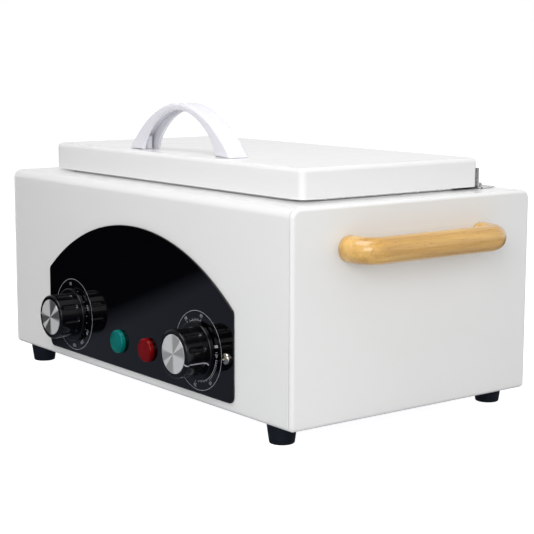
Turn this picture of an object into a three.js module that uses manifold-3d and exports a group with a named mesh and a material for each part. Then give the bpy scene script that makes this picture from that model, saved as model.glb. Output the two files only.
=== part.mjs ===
// Bench-top dry heat sterilizer with a hinged lid, millimetres, +Z up.
// X runs along the front, +Y goes to the rear, and the feet stand on Z = 0.
import * as THREE from 'three'
import Module from 'manifold-3d'
import { mergeVertices } from 'three/addons/utils/BufferGeometryUtils.js'

const wasm = await Module()
wasm.setup()

// Clearances shared by all pieces
const SEAT = 0.2 // gap where one piece rests on another
const FIT = 0.3 // gap all round where one piece goes into another
const OVERRUN = 1 // how far a cut runs past its face

// Case
const CASE_LENGTH = 325
const CASE_DEPTH = 188.8
const CASE_HEIGHT = 126.1
const CASE_BEND_RADIUS = 5.5
const CASE_FOLD_RADIUS = 2.6
const SHEET = 1.2
const FLANGE_WIDTH = 26
const CAP_DEPTH = 2.8
const CAP_EDGE_RADIUS = 2.2
const CAP_LIP_DEPTH = 8
const CAP_LIP_CLEARANCE = 1.6
const VENT_LENGTH = 26
const VENT_WIDTH = 4
const VENT_PITCH = 30
const VENT_ROW_PITCH = 56
const VENTS_PER_ROW = 7
const EARTH_STUD_RADIUS = 2
const EARTH_STUD_HEIGHT = 8

// Feet
const FOOT_HEIGHT = 11.4
const FOOT_TOP_RADIUS = 9
const FOOT_BASE_RADIUS = 7.4
const FOOT_EDGE = 0.6
const FOOT_FROM_END = 22
const FOOT_FROM_FRONT = 10.5
const FOOT_RECESS_RADIUS = 4.4
const FOOT_RECESS_DEPTH = 5.4
const FOOT_SCREW_RADIUS = 2
const FOOT_SCREW_HEAD_RADIUS = 3.8
const FOOT_SCREW_HEAD = 2.4
const FOOT_SCREW_END = 4

// Fascia plate on the front
const FASCIA_HALF_WIDTH = 108.9
const FASCIA_BOTTOM_MARGIN = 6
const FASCIA_TOP_MARGIN = 25.4
const FASCIA_RISE = 39.5
const FASCIA_CORNER_RADIUS = 4.5
const FASCIA_THICKNESS = 1
const FASCIA_SCREW_INSET = 6.4
const FASCIA_SCREW_RADIUS = 1.8
const FASCIA_SCREW_HEAD_RADIUS = 3.45
const FASCIA_SCREW_HEAD = 1.9
const FASCIA_SCREW_LENGTH = 8
const DOME_SHARES = [[1, 0.35], [0.8, 0.8], [0.45, 1]] // of the head's radius and height
const CROSS_SLOT_LENGTH = 4
const CROSS_SLOT_WIDTH = 0.9
const CROSS_SLOT_DEPTH = 1.1

// Dials, knobs and their shafts
const DIAL_SPACING = 149
const DIAL_OFFSET = -1.4 // of the pair of dials from the middle
const DIAL_RISE = 32.6
const KNOB_HEIGHT = 17.4
const KNOB_GAP = 0.8
const KNOB_RADIUS = 14.8
const KNOB_FLUTE_DEPTH = 0.9
const KNOB_FLUTES = 10
const KNOB_FLUTE_SHARE = 0.7 // how square a flute's wave is, where 1 is a plain sine
const KNOB_EDGE = 1
const KNOB_SKIRT_RADIUS = 18
const KNOB_SKIRT_THICKNESS = 2.6
const KNOB_SKIRT_EDGE = 0.7
const KNOB_BORE_DEPTH = 12
const CAP_DISC_RADIUS = 11.9
const CAP_DISC_THICKNESS = 1
const CAP_DISC_PROUD = 0.2
const SHAFT_RADIUS = 3
const SHAFT_FLAT = 2
const SHAFT_HOLE_RADIUS = 5
const SHAFT_BORE_DEPTH = 6

// Thermostat
const THERMOSTAT_WIDTH = 40
const THERMOSTAT_DEPTH = 24
const THERMOSTAT_HEIGHT = 36
const THERMOSTAT_EDGE = 2
const BULB_RADIUS = 2.5
const BULB_LENGTH = 62
const BULB_DROP = 30
const CAPILLARY_RADIUS = 1
const CAPILLARY_STEPS = 44
const CAPILLARY_OFFSET = 7

// Timer
const TIMER_RADIUS = 21
const TIMER_DEPTH = 30
const TIMER_EDGE = 1.5
const TIMER_CLEARANCE = 6.3

// Push-on terminals and internal wires
const TAB_WIDTH = 4.8
const TAB_THICKNESS = 0.8
const TAB_LENGTH = 7
const TAB_OFFSET = 7
const WIRE_RADIUS = 1.5
const WIRE_LEAD = 10
const WIRE_STEPS = 22
const WIRE_SIDES = 6
const WIRE_DIP_SHARES = [1 / 3, 2 / 3]
const LIVE_DIP = 8
const NEUTRAL_DIP = 6
const EARTH_DIP = 2
const TIMER_WIRE_DIP = 14
const HEATER_WIRE_DIP = 8

// Signal lamps
const LAMP_X = 17
const LAMP_RISE = 23.4
const LAMP_LENS_RADIUS = 7.7
const LAMP_LENS_THICKNESS = 2.9
const LAMP_LENS_BEVEL = 1.3
const LAMP_PLUG_RADIUS = 4.2
const LAMP_PLUG_LENGTH = 4
const LAMP_BODY_RADIUS = 5.8
const LAMP_BODY_WALL = 1.2
const LAMP_BODY_LENGTH = 21
const LAMP_HOLE_RADIUS = 6.1

// Chamber
const TANK_WALL = 1
const TANK_CORNER_RADIUS = 14
const TANK_EDGE_RADIUS = 5
const TANK_FLANGE = 5
const TANK_FLANGE_THICKNESS = 1
const HEATER_INSET = 14
const HEATER_THICKNESS = 3
const HEATER_CORNER_RADIUS = 6
const HEATER_TAIL_RADIUS = 2
const HEATER_TAIL_X = 20
const HEATER_TAIL_HOLE_RADIUS = 3
const HEATER_TAIL_END = 5
const CLAMP_THICKNESS = 1.5
const CLAMP_INSET = 12
const INSULATION_GAP = 0.8
const INSULATION_WALL = 10
const INSULATION_FLOOR = 10
const INSULATION_TOP_GAP = 4
const SHIELD_THICKNESS = 1
const SHIELD_FLANGE = 9

// Instrument tray
const TRAY_GAP = 3
const TRAY_HEIGHT = 16
const TRAY_WALL = 1
const TRAY_EDGE_RADIUS = 3
const TRAY_SLOT_LENGTH = 24
const TRAY_SLOT_WIDTH = 5
const TRAY_SLOT_MARGIN = 13
const TRAY_SLOT_ROW_MARGIN = 12
const TRAY_SLOTS_PER_ROW = 6
const TRAY_SLOT_ROWS = 4
const TRAY_GRIP_LENGTH = 30
const TRAY_GRIP_HEIGHT = 7

// Lid
const LID_LEDGE = 23.8
const LID_END_OVERLAP = 9.9
const LID_SIDE_OVERLAP = 7.85
const LID_HEIGHT = 18.2
const LID_GAP = 1.5
const LID_CORNER_RADIUS = 4
const LID_EDGE_RADIUS = 3
const LID_PAN_WALL = 0.8
const LID_PAN_EDGE_RADIUS = 2
const LID_PAN_TOP_GAP = 1.2
const LID_INSULATION_GAP = 0.8

// Lid handle
const GRIP_HALF_SPAN = 58.3
const GRIP_HEIGHT = 32.1
const GRIP_POWER = 0.93
const GRIP_INNER_HALF_SPAN = 41.6
const GRIP_INNER_HEIGHT = 27.4
const GRIP_INNER_POWER = 0.69
const GRIP_WIDTH = 14.4
const GRIP_FROM_LID_FRONT = 10.1
const GRIP_SKIN = 2.6
const GRIP_CHEEK = 2.4
const GRIP_POST_RADIUS = 3.4
const GRIP_SCREW_RADIUS = 1.5
const GRIP_SCREW_HEAD_RADIUS = 3.4
const GRIP_SCREW_HEAD = 2.2
const GRIP_SCREW_DEPTH = 6
const GRIP_SCREW_FROM_OPENING = 5.4
const GRIP_SCREW_POCKET_RADIUS = 5

// Continuous hinge behind the lid
const HINGE_KNUCKLE_RADIUS = 1.9
const HINGE_PIN_RADIUS = 0.8
const HINGE_BORE_RADIUS = 1.05
const HINGE_LEAF = 0.8
const HINGE_LID_LEAF_HEIGHT = 11
const HINGE_CASE_LEAF_WIDTH = 13
const HINGE_KNUCKLES = 11
const HINGE_NOTCH = 0.4
const HINGE_SIDES = 12

// Wooden carrying handles
const BAR_RADIUS = 7.8
const BAR_POST_Y = 52.6
const BAR_OFFSET = -1.4
const BAR_DROP = 25
const BAR_REACH = 25
const BAR_BEND_RADIUS = 10.6
const BAR_SIDES = 12
const BAR_STEPS = 44
const BAR_SCREW_RADIUS = 2
const BAR_SCREW_HEAD_RADIUS = 4
const BAR_SCREW_HEAD = 2.2
const BAR_SCREW_DEPTH = 11

// Mains inlet
const INLET_FROM_END = 44.5
const INLET_RISE = 27.4
const INLET_WIDTH = 27
const INLET_HEIGHT = 19.4
const INLET_DEPTH = 20
const INLET_RADIUS = 3
const INLET_FLANGE_WIDTH = 49
const INLET_FLANGE_HEIGHT = 22.6
const INLET_FLANGE_THICKNESS = 2.2
const INLET_FLANGE_RADIUS = 4
const INLET_WALL = 1.6
const INLET_RECESS_DEPTH = 17
const INLET_PIN_LENGTH = 10.5
const INLET_PIN_WIDTH = 2
const INLET_PIN_HEIGHT = 4
const INLET_PIN_PITCH = 14
const INLET_EARTH_DROP = 4
const INLET_TAB_DROP = 6
const INLET_SCREW_PITCH = 40
const INLET_SCREW_RADIUS = 1.5
const INLET_SCREW_HEAD_RADIUS = 2.9
const INLET_SCREW_HEAD = 1.8
const INLET_SCREW_LENGTH = 8

// Counts that set how fine the round forms are
const ROUND_SIDES = 20
const SCREW_SIDES = 12
const CORNER_STEPS = 4
const SLOT_STEPS = 2
const EDGE_STEPS = 3
const ARCH_STEPS = 20
const FLUTE_STEPS = 5

// Places that several pieces share
const BASE = FOOT_HEIGHT
const TOP = FOOT_HEIGHT + CASE_HEIGHT
const FRONT = -CASE_DEPTH / 2
const REAR = CASE_DEPTH / 2
const INNER_FRONT = FRONT + SHEET
const INNER_REAR = REAR - SHEET
const WRAP_HALF = CASE_LENGTH / 2 - CAP_DEPTH - FIT
const PLATE_FACE = FRONT - SEAT - FASCIA_THICKNESS
const FOOT_X = CASE_LENGTH / 2 - FOOT_FROM_END
const FOOT_Y = CASE_DEPTH / 2 - FOOT_FROM_FRONT
const FASCIA_BOTTOM = BASE + FASCIA_BOTTOM_MARGIN
const FASCIA_APEX = TOP - FASCIA_TOP_MARGIN
const FASCIA_SCREW_X = FASCIA_HALF_WIDTH - FASCIA_SCREW_INSET
const THERMOSTAT_X = DIAL_OFFSET - DIAL_SPACING / 2
const TIMER_X = DIAL_OFFSET + DIAL_SPACING / 2
const DIAL_Z = BASE + DIAL_RISE
const LAMP_Z = BASE + LAMP_RISE
const BAR_Z = TOP - BAR_DROP
const INLET_X = CASE_LENGTH / 2 - INLET_FROM_END
const INLET_Z = BASE + INLET_RISE
const KNOB_BACK = PLATE_FACE - KNOB_GAP
const CAP_DISC_SEAT = KNOB_BACK - KNOB_HEIGHT - CAP_DISC_PROUD + CAP_DISC_THICKNESS
const FLOOR_PLATE_BOTTOM = BASE + SHEET + SEAT
const FLOOR_PLATE_TOP = FLOOR_PLATE_BOTTOM + SHEET
const SHIELD_BOTTOM = DIAL_Z + TIMER_RADIUS + TIMER_CLEARANCE
const INSULATION_BOTTOM = SHIELD_BOTTOM + SHIELD_THICKNESS + SEAT
const CLAMP_BOTTOM = INSULATION_BOTTOM + INSULATION_FLOOR + SEAT
const HEATER_BOTTOM = CLAMP_BOTTOM + CLAMP_THICKNESS + SEAT
const TANK_BOTTOM = HEATER_BOTTOM + HEATER_THICKNESS + SEAT
const HEATER_TAIL_BOTTOM = SHIELD_BOTTOM - HEATER_TAIL_END
const TANK_RIM = TOP + SEAT + TANK_FLANGE_THICKNESS
const CAPILLARY_X = WRAP_HALF - CAP_LIP_DEPTH - CAP_LIP_CLEARANCE - CAPILLARY_RADIUS
const JACKET_HALF_LENGTH = CAPILLARY_X - CAPILLARY_OFFSET
const POCKET_HALF_LENGTH = JACKET_HALF_LENGTH - INSULATION_WALL
const TANK_LENGTH = 2 * (POCKET_HALF_LENGTH - INSULATION_GAP)
const LID_LENGTH = TANK_LENGTH + 2 * LID_END_OVERLAP
const LID_WIDTH = CASE_DEPTH - 2 * LID_LEDGE
const TANK_WIDTH = LID_WIDTH - 2 * LID_SIDE_OVERLAP
const POCKET_HALF_WIDTH = TANK_WIDTH / 2 + INSULATION_GAP
const LID_BOTTOM = TOP + LID_GAP
const LID_TOP = LID_BOTTOM + LID_HEIGHT
const LID_PAN_BOTTOM = TANK_RIM + FIT
const GRIP_X = GRIP_INNER_HALF_SPAN + GRIP_SCREW_FROM_OPENING
const GRIP_FRONT = -LID_WIDTH / 2 + GRIP_FROM_LID_FRONT
const GRIP_Y = GRIP_FRONT + GRIP_WIDTH / 2
const HINGE_Y = LID_WIDTH / 2 + SEAT + HINGE_KNUCKLE_RADIUS
const HINGE_Z = TOP + SEAT + HINGE_KNUCKLE_RADIUS
const PANEL_FACE = CASE_LENGTH / 2
const PANEL_BACK = PANEL_FACE - SHEET
const TIMER_BACK = INNER_FRONT + SEAT + TIMER_DEPTH
const THERMOSTAT_BACK = INNER_FRONT + SEAT + THERMOSTAT_DEPTH
const INLET_BACK = REAR - INLET_DEPTH
const INLET_FACE = REAR + SEAT + INLET_FLANGE_THICKNESS
const EARTH_STUD_PLACE = [INLET_X, INLET_BACK - TAB_LENGTH - 2 * WIRE_LEAD]
const FRONT_REACH = -(KNOB_BACK - KNOB_HEIGHT - CAP_DISC_PROUD)
const REAR_REACH = INLET_FACE + SEAT + INLET_SCREW_HEAD

// Finishes
const finishes = {
  enamel: { color: 0xf0f1f0, roughness: 0.28, metalness: 0 },
  whitePlastic: { color: 0xefeff6, roughness: 0.35, metalness: 0 },
  blackGloss: { color: 0x16171a, roughness: 0.2, metalness: 0 },
  blackPlastic: { color: 0x0e0f11, roughness: 0.3, metalness: 0 },
  spunAluminium: { color: 0xcfd0d2, roughness: 0.3, metalness: 1 },
  stainless: { color: 0xb9bcc0, roughness: 0.35, metalness: 1 },
  nickel: { color: 0xc9c6b8, roughness: 0.2, metalness: 1 },
  zinc: { color: 0x9fa4a8, roughness: 0.4, metalness: 1 },
  brass: { color: 0xb48c46, roughness: 0.35, metalness: 1 },
  copper: { color: 0xb0683f, roughness: 0.35, metalness: 1 },
  rubber: { color: 0x14151a, roughness: 0.7, metalness: 0 },
  beech: { color: 0xdba762, roughness: 0.35, metalness: 0 },
  greenLens: { color: 0x07776b, roughness: 0.15, metalness: 0 },
  redLens: { color: 0x8c1418, roughness: 0.15, metalness: 0 },
  mica: { color: 0xc7b998, roughness: 0.7, metalness: 0 },
  wool: { color: 0xe2d9a8, roughness: 0.95, metalness: 0 },
  ivoryPlastic: { color: 0xdad4c0, roughness: 0.5, metalness: 0 },
  brownWire: { color: 0x6b3d22, roughness: 0.5, metalness: 0 },
  blueWire: { color: 0x2459a6, roughness: 0.5, metalness: 0 },
  greenWire: { color: 0x5d9a2f, roughness: 0.5, metalness: 0 },
  whiteWire: { color: 0xe4e4e0, roughness: 0.6, metalness: 0 },
}

// Turning three.js geometry into solids and back
function solid(geometry) {
  const bare = geometry.clone()
  bare.deleteAttribute('normal')
  bare.deleteAttribute('uv')
  const merged = mergeVertices(bare)
  const triVerts = Uint32Array.from(merged.index.array)
  const vertProperties = merged.attributes.position.array
  return new wasm.Manifold(new wasm.Mesh({ numProp: 3, vertProperties, triVerts }))
}

function surface(body) {
  const mesh = body.getMesh()
  const geometry = new THREE.BufferGeometry()
  geometry.setAttribute('position', new THREE.BufferAttribute(mesh.vertProperties, 3))
  geometry.setIndex(new THREE.BufferAttribute(mesh.triVerts, 1))
  geometry.computeVertexNormals()
  return geometry
}

// Straight forms, each given by the range it fills
function span(a, b) {
  return a < b ? [a, b] : [b, a]
}

function block([x0, x1], [y0, y1], [z0, z1]) {
  const geometry = new THREE.BoxGeometry(x1 - x0, y1 - y0, z1 - z0)
  return solid(geometry.translate((x0 + x1) / 2, (y0 + y1) / 2, (z0 + z1) / 2))
}

// A drawing in the plane across an axis: X, Y for z, X, Z for y and Y, Z for x
function across(axis, geometry, [start, end]) {
  const [x, y, z] = [0, 1, 2].map((i) => new THREE.Vector3().setComponent(i, 1))
  const bases = { x: [y, z, x], y: [x, z, y.clone().negate()], z: [x, y, z] }
  geometry.applyMatrix4(new THREE.Matrix4().makeBasis(...bases[axis]))
  const places = { x: [start, 0, 0], y: [0, end, 0], z: [0, 0, start] }
  return solid(geometry.translate(...places[axis]))
}

function prism(axis, shape, range, curveSegments = CORNER_STEPS) {
  const depth = range[1] - range[0]
  return across(axis, new THREE.ExtrudeGeometry(shape, { depth, bevelEnabled: false, curveSegments }), range)
}

function slab(axis, shape, range, edge) {
  const options = { curveSegments: CORNER_STEPS, bevelSegments: EDGE_STEPS }
  options.depth = range[1] - range[0] - 2 * edge
  options.bevelThickness = edge
  options.bevelSize = edge
  options.bevelOffset = -edge
  const geometry = new THREE.ExtrudeGeometry(shape, options).translate(0, 0, edge)
  return across(axis, geometry, range)
}

function rod(axis, radius, range, [u, v], sides = ROUND_SIDES) {
  const outline = new THREE.Shape()
  for (let i = 0; i < sides; i += 1) {
    const angle = (i + 1 / 2) * 2 * Math.PI / sides
    const point = [u + radius * Math.cos(angle), v + radius * Math.sin(angle)]
    if (i) outline.lineTo(...point)
    else outline.moveTo(...point)
  }
  outline.closePath()
  return prism(axis, outline, range)
}

// A turned form about Z at the origin, from pairs of radius and height
function turned(profile, sides = ROUND_SIDES) {
  const points = profile.map(([radius, height]) => new THREE.Vector2(radius, height))
  return new THREE.LatheGeometry(points, sides).rotateX(Math.PI / 2)
}

// A turned form whose height runs out of the front, towards -Y
function turnedForward(profile, [x, y, z], sides = ROUND_SIDES) {
  return solid(turned(profile, sides).rotateX(Math.PI / 2).translate(x, y, z))
}

function turnedUp(profile, [x, y, z], sides = ROUND_SIDES) {
  return solid(turned(profile, sides).translate(x, y, z))
}

// Outlines
function corner(shape, x, y, radius, quarter) {
  const start = quarter * Math.PI / 2
  if (radius > 0) shape.absarc(x, y, radius, start, start + Math.PI / 2, false)
  else shape.lineTo(x, y)
}

function roundedRect(width, height, topRadius, bottomRadius = topRadius, [cx, cy] = [0, 0]) {
  const [x, y] = [width / 2, height / 2]
  const [top, bottom] = [Math.max(topRadius, 0), Math.max(bottomRadius, 0)]
  const shape = new THREE.Shape()
  corner(shape, cx + x - bottom, cy - y + bottom, bottom, 3)
  corner(shape, cx + x - top, cy + y - top, top, 0)
  corner(shape, cx - x + top, cy + y - top, top, 1)
  corner(shape, cx - x + bottom, cy - y + bottom, bottom, 2)
  shape.closePath()
  return shape
}

function caseProfile(inset) {
  const [width, height] = [CASE_DEPTH - 2 * inset, CASE_HEIGHT - 2 * inset]
  const centre = [0, (BASE + TOP) / 2]
  return roundedRect(width, height, CASE_BEND_RADIUS - inset, CASE_FOLD_RADIUS - inset, centre)
}

// A drawn pan with rounded corners, closed at one level and open at the other
function pan({ length, width, radius, edge, wall }, closed, open) {
  const way = Math.sign(open - closed)
  const beyond = open + way * 2 * edge
  const outer = slab('z', roundedRect(length, width, radius), span(closed, beyond), edge)
  const hollow = roundedRect(length - 2 * wall, width - 2 * wall, radius - wall)
  const inner = slab('z', hollow, span(closed + way * wall, beyond + way * edge), edge - wall)
  const spare = block([-length, length], [-width, width], span(open, beyond + way * length))
  return outer.subtract(inner).subtract(spare)
}

function merge(bodies) {
  return bodies.reduce((sum, body) => sum.add(body))
}

function cut(body, cutters) {
  return cutters.reduce((left, cutter) => left.subtract(cutter), body)
}

const SIDES = [-1, 1]
const FOOT_PLACES = SIDES.flatMap((y) => SIDES.map((x) => [x * FOOT_X, y * FOOT_Y]))
const FOOT_NAMES = ['front_left', 'front_right', 'rear_left', 'rear_right']

// Sheet case
function frontHoles(range) {
  const shafts = [THERMOSTAT_X, TIMER_X].map((x) => rod('y', SHAFT_HOLE_RADIUS, range, [x, DIAL_Z]))
  const lamps = SIDES.map((side) => rod('y', LAMP_HOLE_RADIUS, range, [side * LAMP_X, LAMP_Z]))
  const screwHole = FASCIA_SCREW_RADIUS + FIT
  const screws = SIDES.map((side) => rod('y', screwHole, range, [side * FASCIA_SCREW_X, DIAL_Z], SCREW_SIDES))
  return [...shafts, ...lamps, ...screws]
}

function caseWrap() {
  const range = [-WRAP_HALF, WRAP_HALF]
  const inside = [-WRAP_HALF - OVERRUN, WRAP_HALF + OVERRUN]
  const wrap = prism('x', caseProfile(0), range).subtract(prism('x', caseProfile(SHEET), inside))
  const flangeEdge = CASE_DEPTH / 2 - FLANGE_WIDTH
  const underside = block(inside, [-flangeEdge, flangeEdge], [BASE - OVERRUN, BASE + SHEET + OVERRUN])
  const mouth = roundedRect(TANK_LENGTH + 2 * FIT, TANK_WIDTH + 2 * FIT, TANK_CORNER_RADIUS + FIT)
  const chamber = prism('z', mouth, [TOP - SHEET - OVERRUN, TOP + OVERRUN])
  const footHoles = FOOT_PLACES.map((place) => {
    return rod('z', FOOT_SCREW_RADIUS + FIT, [BASE - OVERRUN, BASE + SHEET + OVERRUN], place, SCREW_SIDES)
  })
  const rearRange = [INNER_REAR - OVERRUN, REAR + OVERRUN]
  const inletShape = roundedRect(INLET_WIDTH + 2 * FIT, INLET_HEIGHT + 2 * FIT, INLET_RADIUS, INLET_RADIUS,
    [INLET_X, INLET_Z])
  const inletScrews = SIDES.map((side) => {
    const place = [INLET_X + side * INLET_SCREW_PITCH / 2, INLET_Z]
    return rod('y', INLET_SCREW_RADIUS + FIT, rearRange, place, SCREW_SIDES)
  })
  const front = frontHoles([FRONT - OVERRUN, INNER_FRONT + OVERRUN])
  const inlet = prism('y', inletShape, rearRange)
  return cut(wrap, [underside, chamber, inlet, ...footHoles, ...front, ...inletScrews])
}

function endPanel(side) {
  const seam = PANEL_FACE - CAP_DEPTH
  const inward = WRAP_HALF - CAP_LIP_DEPTH
  const ring = SHEET + FIT
  const depth = span(side * (seam - 2 * CAP_EDGE_RADIUS), side * PANEL_FACE)
  const whole = slab('x', caseProfile(0), depth, CAP_EDGE_RADIUS)
  const reach = CASE_DEPTH
  const spare = block(span(side * (seam - reach), side * seam), [-reach, reach], [-reach, reach])
  const lip = prism('x', caseProfile(ring), span(side * inward, side * (PANEL_BACK + SHEET / 2)))
  const hollow = prism('x', caseProfile(ring + SHEET), span(side * (inward - OVERRUN), side * PANEL_BACK))
  const screws = SIDES.map((end) => {
    const range = span(side * (PANEL_BACK - OVERRUN), side * (PANEL_FACE + OVERRUN))
    return rod('x', BAR_SCREW_RADIUS + FIT, range, [barPostY(end), BAR_Z], SCREW_SIDES)
  })
  return cut(whole.subtract(spare).add(lip), [hollow, ...screws])
}

function bottomPlate() {
  const halfLength = WRAP_HALF - CAP_LIP_DEPTH - FIT
  const halfWidth = REAR - CASE_FOLD_RADIUS - FIT
  const thickness = [FLOOR_PLATE_BOTTOM, FLOOR_PLATE_TOP]
  const plate = block([-halfLength, halfLength], [-halfWidth, halfWidth], thickness)
  const through = [FLOOR_PLATE_BOTTOM - OVERRUN, FLOOR_PLATE_TOP + OVERRUN]
  const holes = FOOT_PLACES.map((place) => rod('z', FOOT_SCREW_RADIUS + FIT, through, place, SCREW_SIDES))
  const vents = SIDES.flatMap((row) => {
    return Array.from({ length: VENTS_PER_ROW }, (_, i) => {
      const place = [(i - (VENTS_PER_ROW - 1) / 2) * VENT_PITCH, row * VENT_ROW_PITCH / 2]
      const half = VENT_WIDTH / 2
      return prism('z', roundedRect(VENT_WIDTH, VENT_LENGTH, half, half, place), through, SLOT_STEPS)
    })
  })
  const studBase = (FLOOR_PLATE_BOTTOM + FLOOR_PLATE_TOP) / 2
  const studTop = FLOOR_PLATE_TOP + EARTH_STUD_HEIGHT
  const stud = rod('z', EARTH_STUD_RADIUS, [studBase, studTop], EARTH_STUD_PLACE, SCREW_SIDES)
  return cut(plate, [...holes, ...vents]).add(stud)
}

// Feet and their screws
function foot([x, y]) {
  const top = BASE - SEAT
  const shank = FOOT_SCREW_RADIUS + FIT
  const profile = [
    [shank, FOOT_RECESS_DEPTH],
    [FOOT_RECESS_RADIUS, FOOT_RECESS_DEPTH],
    [FOOT_RECESS_RADIUS, 0],
    [FOOT_BASE_RADIUS - FOOT_EDGE, 0],
    [FOOT_BASE_RADIUS, FOOT_EDGE],
    [FOOT_TOP_RADIUS, top - FOOT_EDGE],
    [FOOT_TOP_RADIUS - FOOT_EDGE, top],
    [shank, top],
    [shank, FOOT_RECESS_DEPTH],
  ]
  return turnedUp(profile, [x, y, 0])
}

function footScrew([x, y]) {
  const top = FOOT_RECESS_DEPTH - SEAT
  const end = FLOOR_PLATE_TOP + FOOT_SCREW_END
  const profile = [
    [0, top - FOOT_SCREW_HEAD],
    [FOOT_SCREW_HEAD_RADIUS, top - FOOT_SCREW_HEAD],
    [FOOT_SCREW_HEAD_RADIUS, top],
    [FOOT_SCREW_RADIUS, top],
    [FOOT_SCREW_RADIUS, end],
    [0, end],
  ]
  return turnedUp(profile, [x, y, 0], SCREW_SIDES)
}

// Arched plate behind the dials
function fasciaPlate() {
  const arcRadius = (FASCIA_HALF_WIDTH ** 2 + FASCIA_RISE ** 2) / (2 * FASCIA_RISE)
  const centre = FASCIA_APEX - arcRadius
  const inset = FASCIA_HALF_WIDTH - FASCIA_CORNER_RADIUS
  const reach = arcRadius - FASCIA_CORNER_RADIUS
  const turn = Math.acos(inset / reach)
  const shoulder = centre + reach * Math.sin(turn)
  const foot = FASCIA_BOTTOM + FASCIA_CORNER_RADIUS
  const shape = new THREE.Shape()
  corner(shape, inset, foot, FASCIA_CORNER_RADIUS, 3)
  shape.absarc(inset, shoulder, FASCIA_CORNER_RADIUS, 0, turn, false)
  const arch = new THREE.Path().absarc(0, centre, arcRadius, turn, Math.PI - turn, false)
  arch.getPoints(ARCH_STEPS).slice(1).forEach((point) => shape.lineTo(point.x, point.y))
  shape.absarc(-inset, shoulder, FASCIA_CORNER_RADIUS, Math.PI - turn, Math.PI, false)
  corner(shape, -inset, foot, FASCIA_CORNER_RADIUS, 2)
  shape.closePath()
  const range = [PLATE_FACE, FRONT - SEAT]
  return cut(prism('y', shape, range), frontHoles([range[0] - OVERRUN, range[1] + OVERRUN]))
}

function fasciaScrew(side) {
  const top = FASCIA_SCREW_HEAD
  const dome = DOME_SHARES.map(([out, up]) => [FASCIA_SCREW_HEAD_RADIUS * out, top * up])
  const profile = [
    [0, -FASCIA_SCREW_LENGTH],
    [FASCIA_SCREW_RADIUS, -FASCIA_SCREW_LENGTH],
    [FASCIA_SCREW_RADIUS, 0],
    [FASCIA_SCREW_HEAD_RADIUS, 0],
    ...dome,
    [0, top],
  ]
  const face = PLATE_FACE - SEAT
  const body = turnedForward(profile, [side * FASCIA_SCREW_X, face, DIAL_Z], SCREW_SIDES)
  const depth = [face - top - OVERRUN, face - top + CROSS_SLOT_DEPTH]
  const [x, z] = [side * FASCIA_SCREW_X, DIAL_Z]
  const [long, wide] = [CROSS_SLOT_LENGTH / 2, CROSS_SLOT_WIDTH / 2]
  return cut(body, [
    block([x - long, x + long], depth, [z - wide, z + wide]),
    block([x - wide, x + wide], depth, [z - long, z + long]),
  ])
}

// Signal lamps
function lampLens(side) {
  const profile = [
    [0, -LAMP_PLUG_LENGTH],
    [LAMP_PLUG_RADIUS, -LAMP_PLUG_LENGTH],
    [LAMP_PLUG_RADIUS, 0],
    [LAMP_LENS_RADIUS, 0],
    [LAMP_LENS_RADIUS, LAMP_LENS_THICKNESS - LAMP_LENS_BEVEL],
    [LAMP_LENS_RADIUS - LAMP_LENS_BEVEL, LAMP_LENS_THICKNESS],
    [0, LAMP_LENS_THICKNESS],
  ]
  return turnedForward(profile, [side * LAMP_X, PLATE_FACE - SEAT, LAMP_Z])
}

function lampBody(side) {
  const bore = LAMP_BODY_RADIUS - LAMP_BODY_WALL
  const floor = LAMP_BODY_LENGTH - LAMP_PLUG_LENGTH - 2 * FIT
  const profile = [
    [0, -LAMP_BODY_LENGTH],
    [LAMP_BODY_RADIUS, -LAMP_BODY_LENGTH],
    [LAMP_BODY_RADIUS, 0],
    [bore, 0],
    [bore, floor - LAMP_BODY_LENGTH],
    [0, floor - LAMP_BODY_LENGTH],
  ]
  const body = turnedForward(profile, [side * LAMP_X, PLATE_FACE, LAMP_Z])
  const back = PLATE_FACE + LAMP_BODY_LENGTH
  const tabs = SIDES.map((tab) => {
    const x = side * LAMP_X + tab * LAMP_BODY_RADIUS / 2
    return terminalTab(x, LAMP_Z, back)
  })
  return merge([body, ...tabs])
}

// A push-on tab that stands back from a face
function terminalTab(x, z, face, way = 1) {
  const [thin, tall] = [TAB_THICKNESS / 2, TAB_WIDTH / 2]
  const range = span(face - way * TAB_THICKNESS, face + way * TAB_LENGTH)
  return block([x - thin, x + thin], range, [z - tall, z + tall])
}

// The two places of a control's tabs, on a slant across its back
function tabPlaces(x) {
  return SIDES.map((side) => [x - side * TAB_OFFSET, DIAL_Z + side * TAB_OFFSET])
}

// Knobs
function fluteOutline(radius) {
  const count = KNOB_FLUTES * FLUTE_STEPS
  const shape = new THREE.Shape()
  for (let i = 0; i < count; i += 1) {
    const angle = i * 2 * Math.PI / count
    const wave = Math.abs(Math.sin(KNOB_FLUTES * angle / 2)) ** KNOB_FLUTE_SHARE
    const reach = radius - KNOB_FLUTE_DEPTH * wave
    const point = [reach * Math.cos(angle), reach * Math.sin(angle)]
    if (i) shape.lineTo(...point)
    else shape.moveTo(...point)
  }
  shape.closePath()
  return shape
}

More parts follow.
